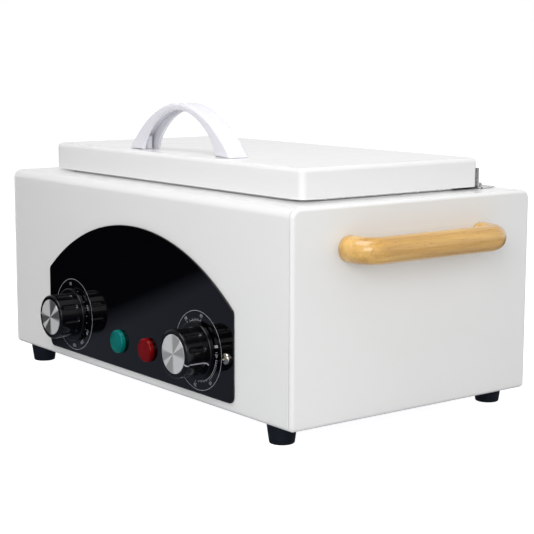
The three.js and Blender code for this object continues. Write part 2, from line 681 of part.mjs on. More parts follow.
function knob(x) {
  const front = KNOB_BACK - KNOB_HEIGHT
  const options = { depth: KNOB_HEIGHT - KNOB_SKIRT_THICKNESS / 2 - KNOB_EDGE, bevelSegments: 2 }
  Object.assign(options, { bevelThickness: KNOB_EDGE, bevelSize: KNOB_EDGE, bevelOffset: -KNOB_EDGE })
  const grip = new THREE.ExtrudeGeometry(fluteOutline(KNOB_RADIUS), options).translate(x, DIAL_Z, 0)
  const body = across('y', grip, [front, front + KNOB_EDGE + options.depth])
  const skirt = turnedForward([
    [0, 0],
    [KNOB_SKIRT_RADIUS, 0],
    [KNOB_SKIRT_RADIUS, KNOB_SKIRT_THICKNESS - KNOB_SKIRT_EDGE],
    [KNOB_SKIRT_RADIUS - KNOB_SKIRT_EDGE, KNOB_SKIRT_THICKNESS],
    [0, KNOB_SKIRT_THICKNESS],
  ], [x, KNOB_BACK, DIAL_Z], 2 * ROUND_SIDES)
  const spare = block([x - CASE_HEIGHT, x + CASE_HEIGHT], [KNOB_BACK, 0], [0, CASE_HEIGHT])
  const recess = rod('y', CAP_DISC_RADIUS + FIT, [front - OVERRUN, CAP_DISC_SEAT + SEAT], [x, DIAL_Z])
  const bore = rod('y', SHAFT_RADIUS + FIT, [KNOB_BACK - KNOB_BORE_DEPTH, KNOB_BACK + OVERRUN], [x, DIAL_Z])
  return cut(body.add(skirt), [spare, recess, bore])
}

function knobCap(x) {
  return turnedForward([
    [0, 0],
    [CAP_DISC_RADIUS, 0],
    [CAP_DISC_RADIUS, CAP_DISC_THICKNESS],
    [0, CAP_DISC_THICKNESS],
  ], [x, CAP_DISC_SEAT, DIAL_Z])
}

function shaft(x, bodyFace) {
  const range = [KNOB_BACK - KNOB_BORE_DEPTH + FIT, bodyFace + SHAFT_BORE_DEPTH - FIT]
  const round = rod('y', SHAFT_RADIUS, range, [x, DIAL_Z])
  const top = [DIAL_Z + SHAFT_FLAT, DIAL_Z + SHAFT_RADIUS + OVERRUN]
  const flat = block([x - SHAFT_RADIUS, x + SHAFT_RADIUS], [range[0] - OVERRUN, KNOB_BACK], top)
  return round.subtract(flat)
}

// Controls behind the front
function thermostatBody() {
  const front = INNER_FRONT + SEAT
  const centre = [THERMOSTAT_X, DIAL_Z]
  const shape = roundedRect(THERMOSTAT_WIDTH, THERMOSTAT_HEIGHT, THERMOSTAT_EDGE, THERMOSTAT_EDGE, centre)
  const bore = rod('y', SHAFT_RADIUS + FIT, [front - OVERRUN, front + SHAFT_BORE_DEPTH], centre)
  const tabs = tabPlaces(THERMOSTAT_X).map(([x, z]) => terminalTab(x, z, THERMOSTAT_BACK))
  return merge([prism('y', shape, [front, THERMOSTAT_BACK]).subtract(bore), ...tabs])
}

function timerBody() {
  const front = INNER_FRONT + SEAT
  const shell = turnedForward([
    [0, 0],
    [TIMER_RADIUS - TIMER_EDGE, 0],
    [TIMER_RADIUS, TIMER_EDGE],
    [TIMER_RADIUS, TIMER_DEPTH],
    [0, TIMER_DEPTH],
  ], [TIMER_X, TIMER_BACK, DIAL_Z])
  const bore = rod('y', SHAFT_RADIUS + FIT, [front - OVERRUN, front + SHAFT_BORE_DEPTH], [TIMER_X, DIAL_Z])
  const tabs = tabPlaces(TIMER_X).map(([x, z]) => terminalTab(x, z, TIMER_BACK))
  return merge([shell.subtract(bore), ...tabs])
}

// A tube along a smooth curve through the points
function tube(points, radius, steps, sides) {
  const places = points.map((point) => new THREE.Vector3(...point))
  const path = new THREE.CatmullRomCurve3(places, false, 'centripetal')
  const ring = Array.from({ length: sides }, (_, i) => {
    const angle = i * 2 * Math.PI / sides
    return new THREE.Vector2(radius * Math.cos(angle), radius * Math.sin(angle))
  })
  const options = { steps, extrudePath: path, bevelEnabled: false }
  return solid(new THREE.ExtrudeGeometry(new THREE.Shape(ring), options))
}

const BULB_X = -POCKET_HALF_LENGTH - BULB_RADIUS
const BULB_Z = TOP - BULB_DROP
const BULB_FRONT = -BULB_LENGTH / 2

function bulbGroove() {
  const room = BULB_RADIUS + FIT + CAPILLARY_RADIUS
  const top = TOP + OVERRUN
  const groove = block([BULB_X - room, OVERRUN - POCKET_HALF_LENGTH], [BULB_FRONT - FIT, -BULB_FRONT + FIT],
    [BULB_Z - room, top])
  const outside = -JACKET_HALF_LENGTH - OVERRUN
  const throughWall = [outside, OVERRUN - POCKET_HALF_LENGTH]
  const notch = block(throughWall, [BULB_FRONT - 3 * room, BULB_FRONT], [BULB_Z - room, top])
  return [groove, notch]
}

function bulbAndCapillary() {
  const bulb = rod('y', BULB_RADIUS, [BULB_FRONT, -BULB_FRONT], [BULB_X, BULB_Z], SCREW_SIDES)
  const gap = 2 * BULB_RADIUS
  const outside = -CAPILLARY_X
  const exit = BULB_FRONT - gap
  const thermostatSide = THERMOSTAT_X - THERMOSTAT_WIDTH / 2
  const middle = (INNER_FRONT + THERMOSTAT_BACK) / 2
  const points = [
    [BULB_X, BULB_FRONT + OVERRUN, BULB_Z],
    [BULB_X, exit + gap / 2, BULB_Z],
    [(BULB_X + outside) / 2, exit, BULB_Z],
    [outside, exit, BULB_Z - gap],
    [outside, exit, SHIELD_BOTTOM],
    [outside, (exit + middle) / 2, DIAL_Z + gap],
    [(outside + thermostatSide) / 2, middle, DIAL_Z],
    [thermostatSide - SEAT, middle, DIAL_Z],
  ]
  return bulb.add(tube(points, CAPILLARY_RADIUS, CAPILLARY_STEPS, WIRE_SIDES))
}

// Heated chamber
function tank() {
  const size = { length: TANK_LENGTH, width: TANK_WIDTH, radius: TANK_CORNER_RADIUS }
  const body = pan({ ...size, edge: TANK_EDGE_RADIUS, wall: TANK_WALL }, TANK_BOTTOM, TANK_RIM)
  const [length, width] = [TANK_LENGTH + 2 * TANK_FLANGE, TANK_WIDTH + 2 * TANK_FLANGE]
  const rim = prism('z', roundedRect(length, width, TANK_CORNER_RADIUS + TANK_FLANGE), [TOP + SEAT, TANK_RIM])
  const [middleLength, middleWidth] = [TANK_LENGTH - TANK_WALL, TANK_WIDTH - TANK_WALL]
  const middle = roundedRect(middleLength, middleWidth, TANK_CORNER_RADIUS - TANK_WALL / 2)
  const mouth = prism('z', middle, [TOP - OVERRUN, TANK_RIM + OVERRUN])
  return body.add(rim.subtract(mouth))
}

function heatingPlate() {
  const [length, width] = [TANK_LENGTH - 2 * HEATER_INSET, TANK_WIDTH - 2 * HEATER_INSET]
  const outline = roundedRect(length, width, HEATER_CORNER_RADIUS)
  const plate = prism('z', outline, [HEATER_BOTTOM, TANK_BOTTOM - SEAT])
  const range = [HEATER_TAIL_BOTTOM, HEATER_BOTTOM + HEATER_THICKNESS / 2]
  const tails = SIDES.map((side) => {
    return rod('z', HEATER_TAIL_RADIUS, range, [side * HEATER_TAIL_X, 0], SCREW_SIDES)
  })
  return merge([plate, ...tails])
}

function tailHoles(range) {
  return SIDES.map((side) => rod('z', HEATER_TAIL_HOLE_RADIUS, range, [side * HEATER_TAIL_X, 0], SCREW_SIDES))
}

function heaterClampPlate() {
  const [length, width] = [TANK_LENGTH - 2 * CLAMP_INSET, TANK_WIDTH - 2 * CLAMP_INSET]
  const range = [CLAMP_BOTTOM, HEATER_BOTTOM - SEAT]
  const plate = prism('z', roundedRect(length, width, HEATER_CORNER_RADIUS), range)
  return cut(plate, tailHoles([range[0] - OVERRUN, range[1] + OVERRUN]))
}

function tankInsulation() {
  const [x, y] = [POCKET_HALF_LENGTH, POCKET_HALF_WIDTH]
  const halfWidth = y + INSULATION_WALL
  const height = [INSULATION_BOTTOM, TOP - INSULATION_TOP_GAP]
  const jacket = block([-JACKET_HALF_LENGTH, JACKET_HALF_LENGTH], [-halfWidth, halfWidth], height)
  const pocket = block([-x, x], [-y, y], [CLAMP_BOTTOM - SEAT, TOP + OVERRUN])
  const floor = tailHoles([INSULATION_BOTTOM - OVERRUN, CLAMP_BOTTOM + OVERRUN])
  return cut(jacket, [pocket, ...floor, ...bulbGroove()])
}

function heatShield() {
  const [x, y] = [JACKET_HALF_LENGTH, INNER_REAR - FIT]
  const floor = SHIELD_BOTTOM + SHIELD_THICKNESS
  const top = floor + SHIELD_FLANGE
  const channel = block([-x, x], [-y, y], [SHIELD_BOTTOM, top])
  const [inside, reach] = [y - SHIELD_THICKNESS, x + OVERRUN]
  const room = block([-reach, reach], [-inside, inside], [floor, top + OVERRUN])
  return cut(channel, [room, ...tailHoles([SHIELD_BOTTOM - OVERRUN, floor + OVERRUN])])
}

// Lift-out instrument tray
function instrumentTray() {
  const room = 2 * (TANK_WALL + TRAY_GAP)
  const size = { length: TANK_LENGTH - room, width: TANK_WIDTH - room }
  size.radius = TANK_CORNER_RADIUS - room / 2
  const bottom = TANK_BOTTOM + TANK_WALL + FIT
  const body = pan({ ...size, edge: TRAY_EDGE_RADIUS, wall: TRAY_WALL }, bottom, bottom + TRAY_HEIGHT)
  const through = [bottom - OVERRUN, bottom + TRAY_WALL + OVERRUN]
  const pitch = (size.length - 2 * TRAY_SLOT_MARGIN) / TRAY_SLOTS_PER_ROW
  const rowPitch = (size.width - 2 * TRAY_SLOT_ROW_MARGIN) / TRAY_SLOT_ROWS
  const slots = []
  for (let row = 0; row < TRAY_SLOT_ROWS; row += 1) {
    for (let i = 0; i < TRAY_SLOTS_PER_ROW; i += 1) {
      const x = (i - (TRAY_SLOTS_PER_ROW - 1) / 2) * pitch
      const y = (row - (TRAY_SLOT_ROWS - 1) / 2) * rowPitch
      const half = TRAY_SLOT_WIDTH / 2
      const outline = roundedRect(TRAY_SLOT_LENGTH, TRAY_SLOT_WIDTH, half, half, [x, y])
      slots.push(prism('z', outline, through, SLOT_STEPS))
    }
  }
  const half = TRAY_GRIP_HEIGHT / 2
  const middle = bottom + TRAY_HEIGHT / 2 + TRAY_WALL
  const grip = roundedRect(TRAY_GRIP_LENGTH, TRAY_GRIP_HEIGHT, half, half, [0, middle])
  const grips = prism('x', grip, [-TANK_LENGTH / 2, TANK_LENGTH / 2])
  return cut(body, [...slots, grips])
}

// Lid
function gripScrewPlaces() {
  return SIDES.map((side) => [side * GRIP_X, GRIP_Y])
}

function lidShell() {
  const size = { length: LID_LENGTH, width: LID_WIDTH, radius: LID_CORNER_RADIUS }
  const shell = pan({ ...size, edge: LID_EDGE_RADIUS, wall: SHEET }, LID_TOP, LID_BOTTOM)
  const through = [LID_TOP - SHEET - OVERRUN, LID_TOP + OVERRUN]
  const holes = gripScrewPlaces().map((place) => {
    return rod('z', GRIP_SCREW_RADIUS + FIT, through, place, SCREW_SIDES)
  })
  return cut(shell, holes)
}

function lidInnerPan() {
  const room = 2 * (SHEET + FIT)
  const size = { length: LID_LENGTH - room, width: LID_WIDTH - room, radius: LID_CORNER_RADIUS - room / 2 }
  size.radius = Math.max(size.radius, LID_PAN_EDGE_RADIUS + LID_PAN_WALL)
  const form = { ...size, edge: LID_PAN_EDGE_RADIUS, wall: LID_PAN_WALL }
  return pan(form, LID_PAN_BOTTOM, LID_TOP - SHEET - LID_PAN_TOP_GAP)
}

function lidInsulation() {
  const room = SHEET + FIT + LID_PAN_WALL + LID_INSULATION_GAP
  const [x, y] = [LID_LENGTH / 2 - room, LID_WIDTH / 2 - room]
  const radius = LID_PAN_EDGE_RADIUS
  const range = [LID_PAN_BOTTOM + LID_PAN_WALL + FIT, LID_TOP - SHEET - FIT]
  const pad = prism('z', roundedRect(2 * x, 2 * y, radius), range)
  const depth = [(range[0] + range[1]) / 2, range[1] + OVERRUN]
  const pockets = gripScrewPlaces().map((place) => {
    return rod('z', GRIP_SCREW_POCKET_RADIUS, depth, place, SCREW_SIDES)
  })
  return cut(pad, pockets)
}

// Arched lid handle with a hollow underside. A power of 0.5 gives half an ellipse, and 1 a parabola
function archBand(halfSpan, height, power, overrun) {
  const shape = new THREE.Shape()
  const base = LID_TOP + SEAT
  shape.moveTo(halfSpan, base - overrun)
  for (let i = 0; i <= ARCH_STEPS; i += 1) {
    const turn = i * Math.PI / ARCH_STEPS
    shape.lineTo(halfSpan * Math.cos(turn), base + height * Math.sin(turn) ** (2 * power))
  }
  shape.lineTo(-halfSpan, base - overrun)
  shape.closePath()
  return shape
}

function lidHandle() {
  const range = [GRIP_FRONT, GRIP_FRONT + GRIP_WIDTH]
  const wide = [range[0] - OVERRUN, range[1] + OVERRUN]
  const within = [range[0] + GRIP_CHEEK, range[1] - GRIP_CHEEK]
  const openShape = archBand(GRIP_INNER_HALF_SPAN, GRIP_INNER_HEIGHT, GRIP_INNER_POWER, OVERRUN)
  const outline = archBand(GRIP_HALF_SPAN, GRIP_HEIGHT, GRIP_POWER, 0)
  const bow = prism('y', outline, range).subtract(prism('y', openShape, wide))
  const skinShape = archBand(GRIP_HALF_SPAN - GRIP_SKIN, GRIP_HEIGHT - GRIP_SKIN, GRIP_POWER, OVERRUN)
  const postRange = [LID_TOP - OVERRUN, LID_TOP + GRIP_SCREW_DEPTH + GRIP_SKIN]
  const posts = gripScrewPlaces().map((place) => rod('z', GRIP_POST_RADIUS, postRange, place))
  const channel = cut(prism('y', skinShape, within), posts)
  const screws = gripScrewPlaces().map((place) => {
    const hole = [LID_TOP - OVERRUN, LID_TOP + GRIP_SCREW_DEPTH + FIT]
    return rod('z', GRIP_SCREW_RADIUS + FIT, hole, place, SCREW_SIDES)
  })
  return cut(bow, [channel, ...screws])
}

function lidHandleScrew([x, y]) {
  const top = LID_TOP - SHEET - SEAT
  return turnedUp([
    [0, top - GRIP_SCREW_HEAD],
    [GRIP_SCREW_HEAD_RADIUS, top - GRIP_SCREW_HEAD],
    [GRIP_SCREW_HEAD_RADIUS, top],
    [GRIP_SCREW_RADIUS, top],
    [GRIP_SCREW_RADIUS, LID_TOP + GRIP_SCREW_DEPTH],
    [0, LID_TOP + GRIP_SCREW_DEPTH],
  ], [x, y, 0], SCREW_SIDES)
}

// Continuous hinge: the lid's leaf has the odd knuckles and the case's leaf the even ones
function knuckleRange(i) {
  const pitch = LID_LENGTH / HINGE_KNUCKLES
  const start = i * pitch - LID_LENGTH / 2
  return [start + SEAT, start + pitch - SEAT]
}

function hingeLeaf(plate, first) {
  const axis = [HINGE_Y, HINGE_Z]
  const own = []
  const others = []
  for (let i = 0; i < HINGE_KNUCKLES; i += 1) {
    const [start, end] = knuckleRange(i)
    if (i % 2 === first) own.push(rod('x', HINGE_KNUCKLE_RADIUS, [start, end], axis, HINGE_SIDES))
    else {
      const room = HINGE_KNUCKLE_RADIUS + HINGE_NOTCH
      const reach = [start - 2 * SEAT, end + 2 * SEAT]
      others.push(block(reach, [HINGE_Y - room, HINGE_Y + room], [HINGE_Z - room, HINGE_Z + room]))
    }
  }
  const length = [-LID_LENGTH / 2 - OVERRUN, LID_LENGTH / 2 + OVERRUN]
  const bore = rod('x', HINGE_BORE_RADIUS, length, axis, HINGE_SIDES)
  return cut(merge([plate, ...own]), [...others, bore])
}

function hingeLidLeaf() {
  const x = LID_LENGTH / 2 - SEAT
  const y = LID_WIDTH / 2 + SEAT
  return hingeLeaf(block([-x, x], [y, y + HINGE_LEAF], [HINGE_Z, HINGE_Z + HINGE_LID_LEAF_HEIGHT]), 0)
}

function hingeCaseLeaf() {
  const x = LID_LENGTH / 2 - SEAT
  const z = TOP + SEAT
  return hingeLeaf(block([-x, x], [HINGE_Y, HINGE_Y + HINGE_CASE_LEAF_WIDTH], [z, z + HINGE_LEAF]), 1)
}

function hingePin() {
  return rod('x', HINGE_PIN_RADIUS, [-LID_LENGTH / 2, LID_LENGTH / 2], [HINGE_Y, HINGE_Z], HINGE_SIDES)
}

// Wooden carrying handle: one round bar that turns in to the end panel at both ends
function barPostY(end) {
  return BAR_OFFSET + end * BAR_POST_Y
}

function barPath(side) {
  const face = side * (PANEL_FACE + SEAT)
  const centre = side * (PANEL_FACE + BAR_REACH - BAR_RADIUS)
  const bendX = centre - side * BAR_BEND_RADIUS
  const [front, rear] = [barPostY(-1), barPostY(1)]
  const [start, end] = [front + BAR_BEND_RADIUS, rear - BAR_BEND_RADIUS]
  const path = new THREE.CurvePath()
  const at = (x, y) => new THREE.Vector3(x, y, BAR_Z)
  const bend = (...points) => new THREE.QuadraticBezierCurve3(...points)
  path.add(new THREE.LineCurve3(at(face, front), at(bendX, front)))
  path.add(bend(at(bendX, front), at(centre, front), at(centre, start)))
  path.add(new THREE.LineCurve3(at(centre, start), at(centre, end)))
  path.add(bend(at(centre, end), at(centre, rear), at(bendX, rear)))
  path.add(new THREE.LineCurve3(at(bendX, rear), at(face, rear)))
  return path
}

function sideHandle(side) {
  const ring = Array.from({ length: BAR_SIDES }, (_, i) => {
    const angle = i * 2 * Math.PI / BAR_SIDES
    return new THREE.Vector2(BAR_RADIUS * Math.cos(angle), BAR_RADIUS * Math.sin(angle))
  })
  const options = { steps: BAR_STEPS, extrudePath: barPath(side), bevelEnabled: false }
  const bar = solid(new THREE.ExtrudeGeometry(new THREE.Shape(ring), options))
  const holes = SIDES.map((end) => {
    const range = span(side * (PANEL_FACE - OVERRUN), side * (PANEL_FACE + BAR_SCREW_DEPTH + FIT))
    return rod('x', BAR_SCREW_RADIUS + FIT, range, [barPostY(end), BAR_Z], SCREW_SIDES)
  })
  return cut(bar, holes)
}

function sideHandleScrew(side, end) {
  const inner = PANEL_BACK - SEAT
  const profile = [
    [0, inner - BAR_SCREW_HEAD],
    [BAR_SCREW_HEAD_RADIUS, inner - BAR_SCREW_HEAD],
    [BAR_SCREW_HEAD_RADIUS, inner],
    [BAR_SCREW_RADIUS, inner],
    [BAR_SCREW_RADIUS, PANEL_FACE + BAR_SCREW_DEPTH],
    [0, PANEL_FACE + BAR_SCREW_DEPTH],
  ]
  const geometry = turned(profile, SCREW_SIDES).rotateY(side * Math.PI / 2)
  return solid(geometry.translate(0, barPostY(end), BAR_Z))
}

// Mains inlet with three pins in its recess
function inletPins() {
  const half = INLET_PIN_PITCH / 2
  return [[INLET_X - half, INLET_Z], [INLET_X + half, INLET_Z], [INLET_X, INLET_Z - INLET_EARTH_DROP]]
}

function powerInlet() {
  const centre = [INLET_X, INLET_Z]
  const bodyShape = roundedRect(INLET_WIDTH, INLET_HEIGHT, INLET_RADIUS, INLET_RADIUS, centre)
  const flangeShape = roundedRect(INLET_FLANGE_WIDTH, INLET_FLANGE_HEIGHT, INLET_FLANGE_RADIUS,
    INLET_FLANGE_RADIUS, centre)
  const [width, height] = [INLET_WIDTH - 2 * INLET_WALL, INLET_HEIGHT - 2 * INLET_WALL]
  const recessShape = roundedRect(width, height, INLET_RADIUS - INLET_WALL, INLET_RADIUS - INLET_WALL, centre)
  const recessFloor = INLET_FACE - INLET_RECESS_DEPTH
  const body = merge([
    prism('y', bodyShape, [INLET_BACK, INLET_FACE]),
    prism('y', flangeShape, [REAR + SEAT, INLET_FACE]),
  ])
  const holes = SIDES.map((side) => {
    const place = [INLET_X + side * INLET_SCREW_PITCH / 2, INLET_Z]
    return rod('y', INLET_SCREW_RADIUS + FIT, [REAR - OVERRUN, INLET_FACE + OVERRUN], place, SCREW_SIDES)
  })
  const housing = cut(body, [prism('y', recessShape, [recessFloor, INLET_FACE + OVERRUN]), ...holes])
  const [wide, high] = [INLET_PIN_WIDTH / 2, INLET_PIN_HEIGHT / 2]
  const pins = inletPins().map(([x, z]) => {
    const range = [recessFloor - OVERRUN, recessFloor + INLET_PIN_LENGTH]
    return block([x - wide, x + wide], range, [z - high, z + high])
  })
  const tabs = inletTabs().map(([x, z]) => terminalTab(x, z, INLET_BACK, -1))
  return merge([housing, ...pins, ...tabs])
}

function inletTabs() {
  const half = INLET_PIN_PITCH / 2
  return [[INLET_X - half, INLET_Z], [INLET_X + half, INLET_Z], [INLET_X, INLET_Z - INLET_TAB_DROP]]
}

function inletScrew(side) {
  const profile = [
    [0, -INLET_SCREW_HEAD],
    [INLET_SCREW_HEAD_RADIUS, -INLET_SCREW_HEAD],
    [INLET_SCREW_HEAD_RADIUS, 0],
    [INLET_SCREW_RADIUS, 0],
    [INLET_SCREW_RADIUS, INLET_SCREW_LENGTH],
    [0, INLET_SCREW_LENGTH],
  ]
  const place = [INLET_X + side * INLET_SCREW_PITCH / 2, INLET_FACE + SEAT, INLET_Z]
  return turnedForward(profile, place, SCREW_SIDES)
}

// Internal wires: straight out of one terminal, a shallow dip, straight into the next
function wire(start, startWay, end, endWay, dip) {
  const from = new THREE.Vector3(...start)
  const to = new THREE.Vector3(...end)
  const leave = from.clone().addScaledVector(new THREE.Vector3(...startWay), WIRE_LEAD)
  const arrive = to.clone().addScaledVector(new THREE.Vector3(...endWay), WIRE_LEAD)
  const low = new THREE.Vector3(0, 0, -dip)
  const dips = WIRE_DIP_SHARES.map((share) => leave.clone().lerp(arrive, share).add(low))
  const points = [from, leave, ...dips, arrive, to].map((point) => point.toArray())
  return tube(points, WIRE_RADIUS, WIRE_STEPS, WIRE_SIDES)
}

function wires() {
  const [back, up, down, ahead] = [[0, 1, 0], [0, 0, 1], [0, 0, -1], [0, -1, 0]]
  const [neutralTab, liveTab, earthTab] = inletTabs().map(([x, z]) => [x, INLET_BACK - TAB_LENGTH - FIT, z])
  const tabEnd = TAB_LENGTH + FIT
  const [timerLow, timerHigh] = tabPlaces(TIMER_X).map(([x, z]) => [x, TIMER_BACK + tabEnd, z])
  const thermostatTab = THERMOSTAT_BACK + tabEnd
  const [thermostatLow, thermostatHigh] = tabPlaces(THERMOSTAT_X).map(([x, z]) => [x, thermostatTab, z])
  const tailEnd = HEATER_TAIL_BOTTOM - FIT
  const stud = [...EARTH_STUD_PLACE, FLOOR_PLATE_TOP + EARTH_STUD_HEIGHT + FIT]
  return {
    live_wire: wire(liveTab, ahead, timerLow, back, LIVE_DIP),
    neutral_wire: wire(neutralTab, ahead, [HEATER_TAIL_X, 0, tailEnd], down, NEUTRAL_DIP),
    earth_wire: wire(earthTab, ahead, stud, up, EARTH_DIP),
    timer_wire: wire(timerHigh, back, thermostatHigh, back, TIMER_WIRE_DIP),
    heater_wire: wire(thermostatLow, back, [-HEATER_TAIL_X, 0, tailEnd], down, HEATER_WIRE_DIP),
  }
}

// Assembly, shifted so that the middle of its whole depth is at Y = 0
const group = new THREE.Group()
group.position.y = (FRONT_REACH - REAR_REACH) / 2

function add(name, body, finish) {
  const mesh = new THREE.Mesh(surface(body), new THREE.MeshStandardMaterial(finishes[finish]))
  mesh.name = name
  group.add(mesh)
}

add('case_wrap', caseWrap(), 'enamel')
add('left_end_panel', endPanel(-1), 'enamel')
add('right_end_panel', endPanel(1), 'enamel')
add('bottom_plate', bottomPlate(), 'zinc')
FOOT_PLACES.forEach((place, i) => {
  add(`${FOOT_NAMES[i]}_foot`, foot(place), 'rubber')
  add(`${FOOT_NAMES[i]}_foot_screw`, footScrew(place), 'zinc')
})

add('fascia_plate', fasciaPlate(), 'blackGloss')
add('left_fascia_screw', fasciaScrew(-1), 'nickel')
add('right_fascia_screw', fasciaScrew(1), 'nickel')
add('green_lamp_lens', lampLens(-1), 'greenLens')
add('green_lamp_body', lampBody(-1), 'blackPlastic')
add('red_lamp_lens', lampLens(1), 'redLens')
add('red_lamp_body', lampBody(1), 'blackPlastic')

add('temperature_knob', knob(THERMOSTAT_X), 'blackPlastic')
add('temperature_knob_cap', knobCap(THERMOSTAT_X), 'spunAluminium')
add('thermostat_shaft', shaft(THERMOSTAT_X, INNER_FRONT + SEAT), 'brass')
add('thermostat_body', thermostatBody(), 'ivoryPlastic')
add('thermostat_bulb', bulbAndCapillary(), 'copper')
add('timer_knob', knob(TIMER_X), 'blackPlastic')
add('timer_knob_cap', knobCap(TIMER_X), 'spunAluminium')
add('timer_shaft', shaft(TIMER_X, INNER_FRONT + SEAT), 'brass')
add('timer_body', timerBody(), 'zinc')

add('tank', tank(), 'stainless')
add('heating_plate', heatingPlate(), 'mica')
add('heater_clamp_plate', heaterClampPlate(), 'zinc')
add('tank_insulation', tankInsulation(), 'wool')
add('heat_shield', heatShield(), 'zinc')
add('instrument_tray', instrumentTray(), 'stainless')

add('lid_shell', lidShell(), 'enamel')
add('lid_inner_pan', lidInnerPan(), 'stainless')
add('lid_insulation', lidInsulation(), 'wool')
add('lid_handle', lidHandle(), 'whitePlastic')
gripScrewPlaces().forEach((place, i) => {
  add(`${['left', 'right'][i]}_lid_handle_screw`, lidHandleScrew(place), 'zinc')
})
add('hinge_case_leaf', hingeCaseLeaf(), 'stainless')
add('hinge_lid_leaf', hingeLidLeaf(), 'stainless')
add('hinge_pin', hingePin(), 'stainless')

SIDES.forEach((side, i) => {
  const word = ['left', 'right'][i]
  add(`${word}_side_handle`, sideHandle(side), 'beech')
  add(`${word}_side_handle_front_screw`, sideHandleScrew(side, -1), 'zinc')
  add(`${word}_side_handle_rear_screw`, sideHandleScrew(side, 1), 'zinc')
})

add('power_inlet', powerInlet(), 'blackPlastic')
add('left_inlet_screw', inletScrew(-1), 'zinc')
add('right_inlet_screw', inletScrew(1), 'zinc')
const wireFinishes = ['brownWire', 'blueWire', 'greenWire', 'whiteWire', 'whiteWire']
Object.entries(wires()).forEach(([name, body], i) => add(name, body, wireFinishes[i]))

export default group
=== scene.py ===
import math

import bmesh
import bpy
from bpy.props import FloatProperty, FloatVectorProperty, IntProperty, PointerProperty
from bpy.types import Operator, Panel, PropertyGroup
from mathutils import Matrix, Vector


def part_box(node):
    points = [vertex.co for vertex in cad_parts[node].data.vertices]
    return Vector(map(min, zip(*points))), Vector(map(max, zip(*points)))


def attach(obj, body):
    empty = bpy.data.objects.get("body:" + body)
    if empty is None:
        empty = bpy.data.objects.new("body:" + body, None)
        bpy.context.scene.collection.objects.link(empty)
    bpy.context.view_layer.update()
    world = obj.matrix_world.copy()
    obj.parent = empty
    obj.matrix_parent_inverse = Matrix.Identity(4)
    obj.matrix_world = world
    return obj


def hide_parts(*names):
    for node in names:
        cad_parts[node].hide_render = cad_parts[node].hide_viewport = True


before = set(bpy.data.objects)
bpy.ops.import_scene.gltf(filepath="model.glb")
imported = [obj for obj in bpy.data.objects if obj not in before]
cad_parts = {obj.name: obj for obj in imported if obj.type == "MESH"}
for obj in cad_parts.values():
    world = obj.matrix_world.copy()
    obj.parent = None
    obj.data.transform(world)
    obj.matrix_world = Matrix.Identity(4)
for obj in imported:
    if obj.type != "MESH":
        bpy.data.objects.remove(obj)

bl_info = {
    "name": "Dry Heat Sterilizer",
    "version": (1, 0, 0),
    "blender": (4, 5, 0),
    "location": "View3D > Sidebar > Sterilizer",
    "description": "Models and dresses a bench-top dry heat sterilizer on its packed frame",
    "category": "Object",
}

MM = 0.001
CLOSE = 0.02 * MM  # how near a corner is to a level to count as lying on it
SEAT = 0.2 * MM  # gap where one piece rests on another
FIT = 0.3 * MM  # gap all round where one piece goes into another
OVERRUN = 1 * MM  # how far a cutter runs past the face it cuts
PARALLEL = 0.99  # least cosine between two directions that count as the same
UPRIGHT = 0.01  # most that the normal of an upright face leans
ALONG = 0.999  # least share of an edge's length that lies along the axis it follows
ON_ARCH = 0.002  # how far a corner may lie off an arch, as a share of the arch's height
SIDES = (-1, 1)
QUARTER = math.pi / 2
ARCH_STEPS = 72  # how many straight runs make up the lid handle's arch
SMALL_HOLE = 1.8 * MM  # radius of the hole for an inlet's or lid handle's screw
LARGE_HOLE = 2.3 * MM  # radius of the hole for a foot's or carrying handle's screw


# Properties that a user would change
def length(name, millimetres, description):
    return FloatProperty(
        name=name, description=description, default=millimetres * MM, min=0, unit="LENGTH", precision=5
    )


def colour(name, default, description):
    return FloatVectorProperty(
        name=name, description=description, default=default, size=3, min=0, max=1, subtype="COLOR"
    )


def angle(name, degrees, description):
    return FloatProperty(
        name=name, description=description, default=math.radians(degrees), subtype="ANGLE", unit="ROTATION"
    )


def power(name, default, description):
    return FloatProperty(name=name, description=description, default=default, min=0.2, max=3)


class CaseSizes(PropertyGroup):
    """Sizes of the folded sheet case, its end panels and its feet."""

    sheet: length("Sheet", 1.2, "Thickness of the case and lid sheet")
    bend_radius: length("Bend radius", 5.5, "Outer radius of the long bends along the top")
    fold_radius: length("Fold radius", 2.6, "Outer radius of the long folds along the bottom")
    flange_width: length("Flange width", 26, "How far the wrap reaches under the case")
    panel_depth: length("Panel depth", 2.5, "Depth of an end panel's rolled rim")
    panel_edge_radius: length("Panel edge radius", 2.2, "Radius of an end panel's rolled edge")
    seam_edge: length("Seam edge", 0.25, "Rounding of the two edges that meet at a seam")
    lip_wall: length("Lip wall", 1.0, "Thickness of the lip that an end panel slides in with")
    foot_edge: length("Foot edge", 0.6, "Rounding of a foot's two outer edges")
    foot_recess_radius: length("Foot recess radius", 4.4, "Radius of the recess for a foot's screw")
    foot_recess_depth: length("Foot recess depth", 5.4, "Depth of the recess for a foot's screw")


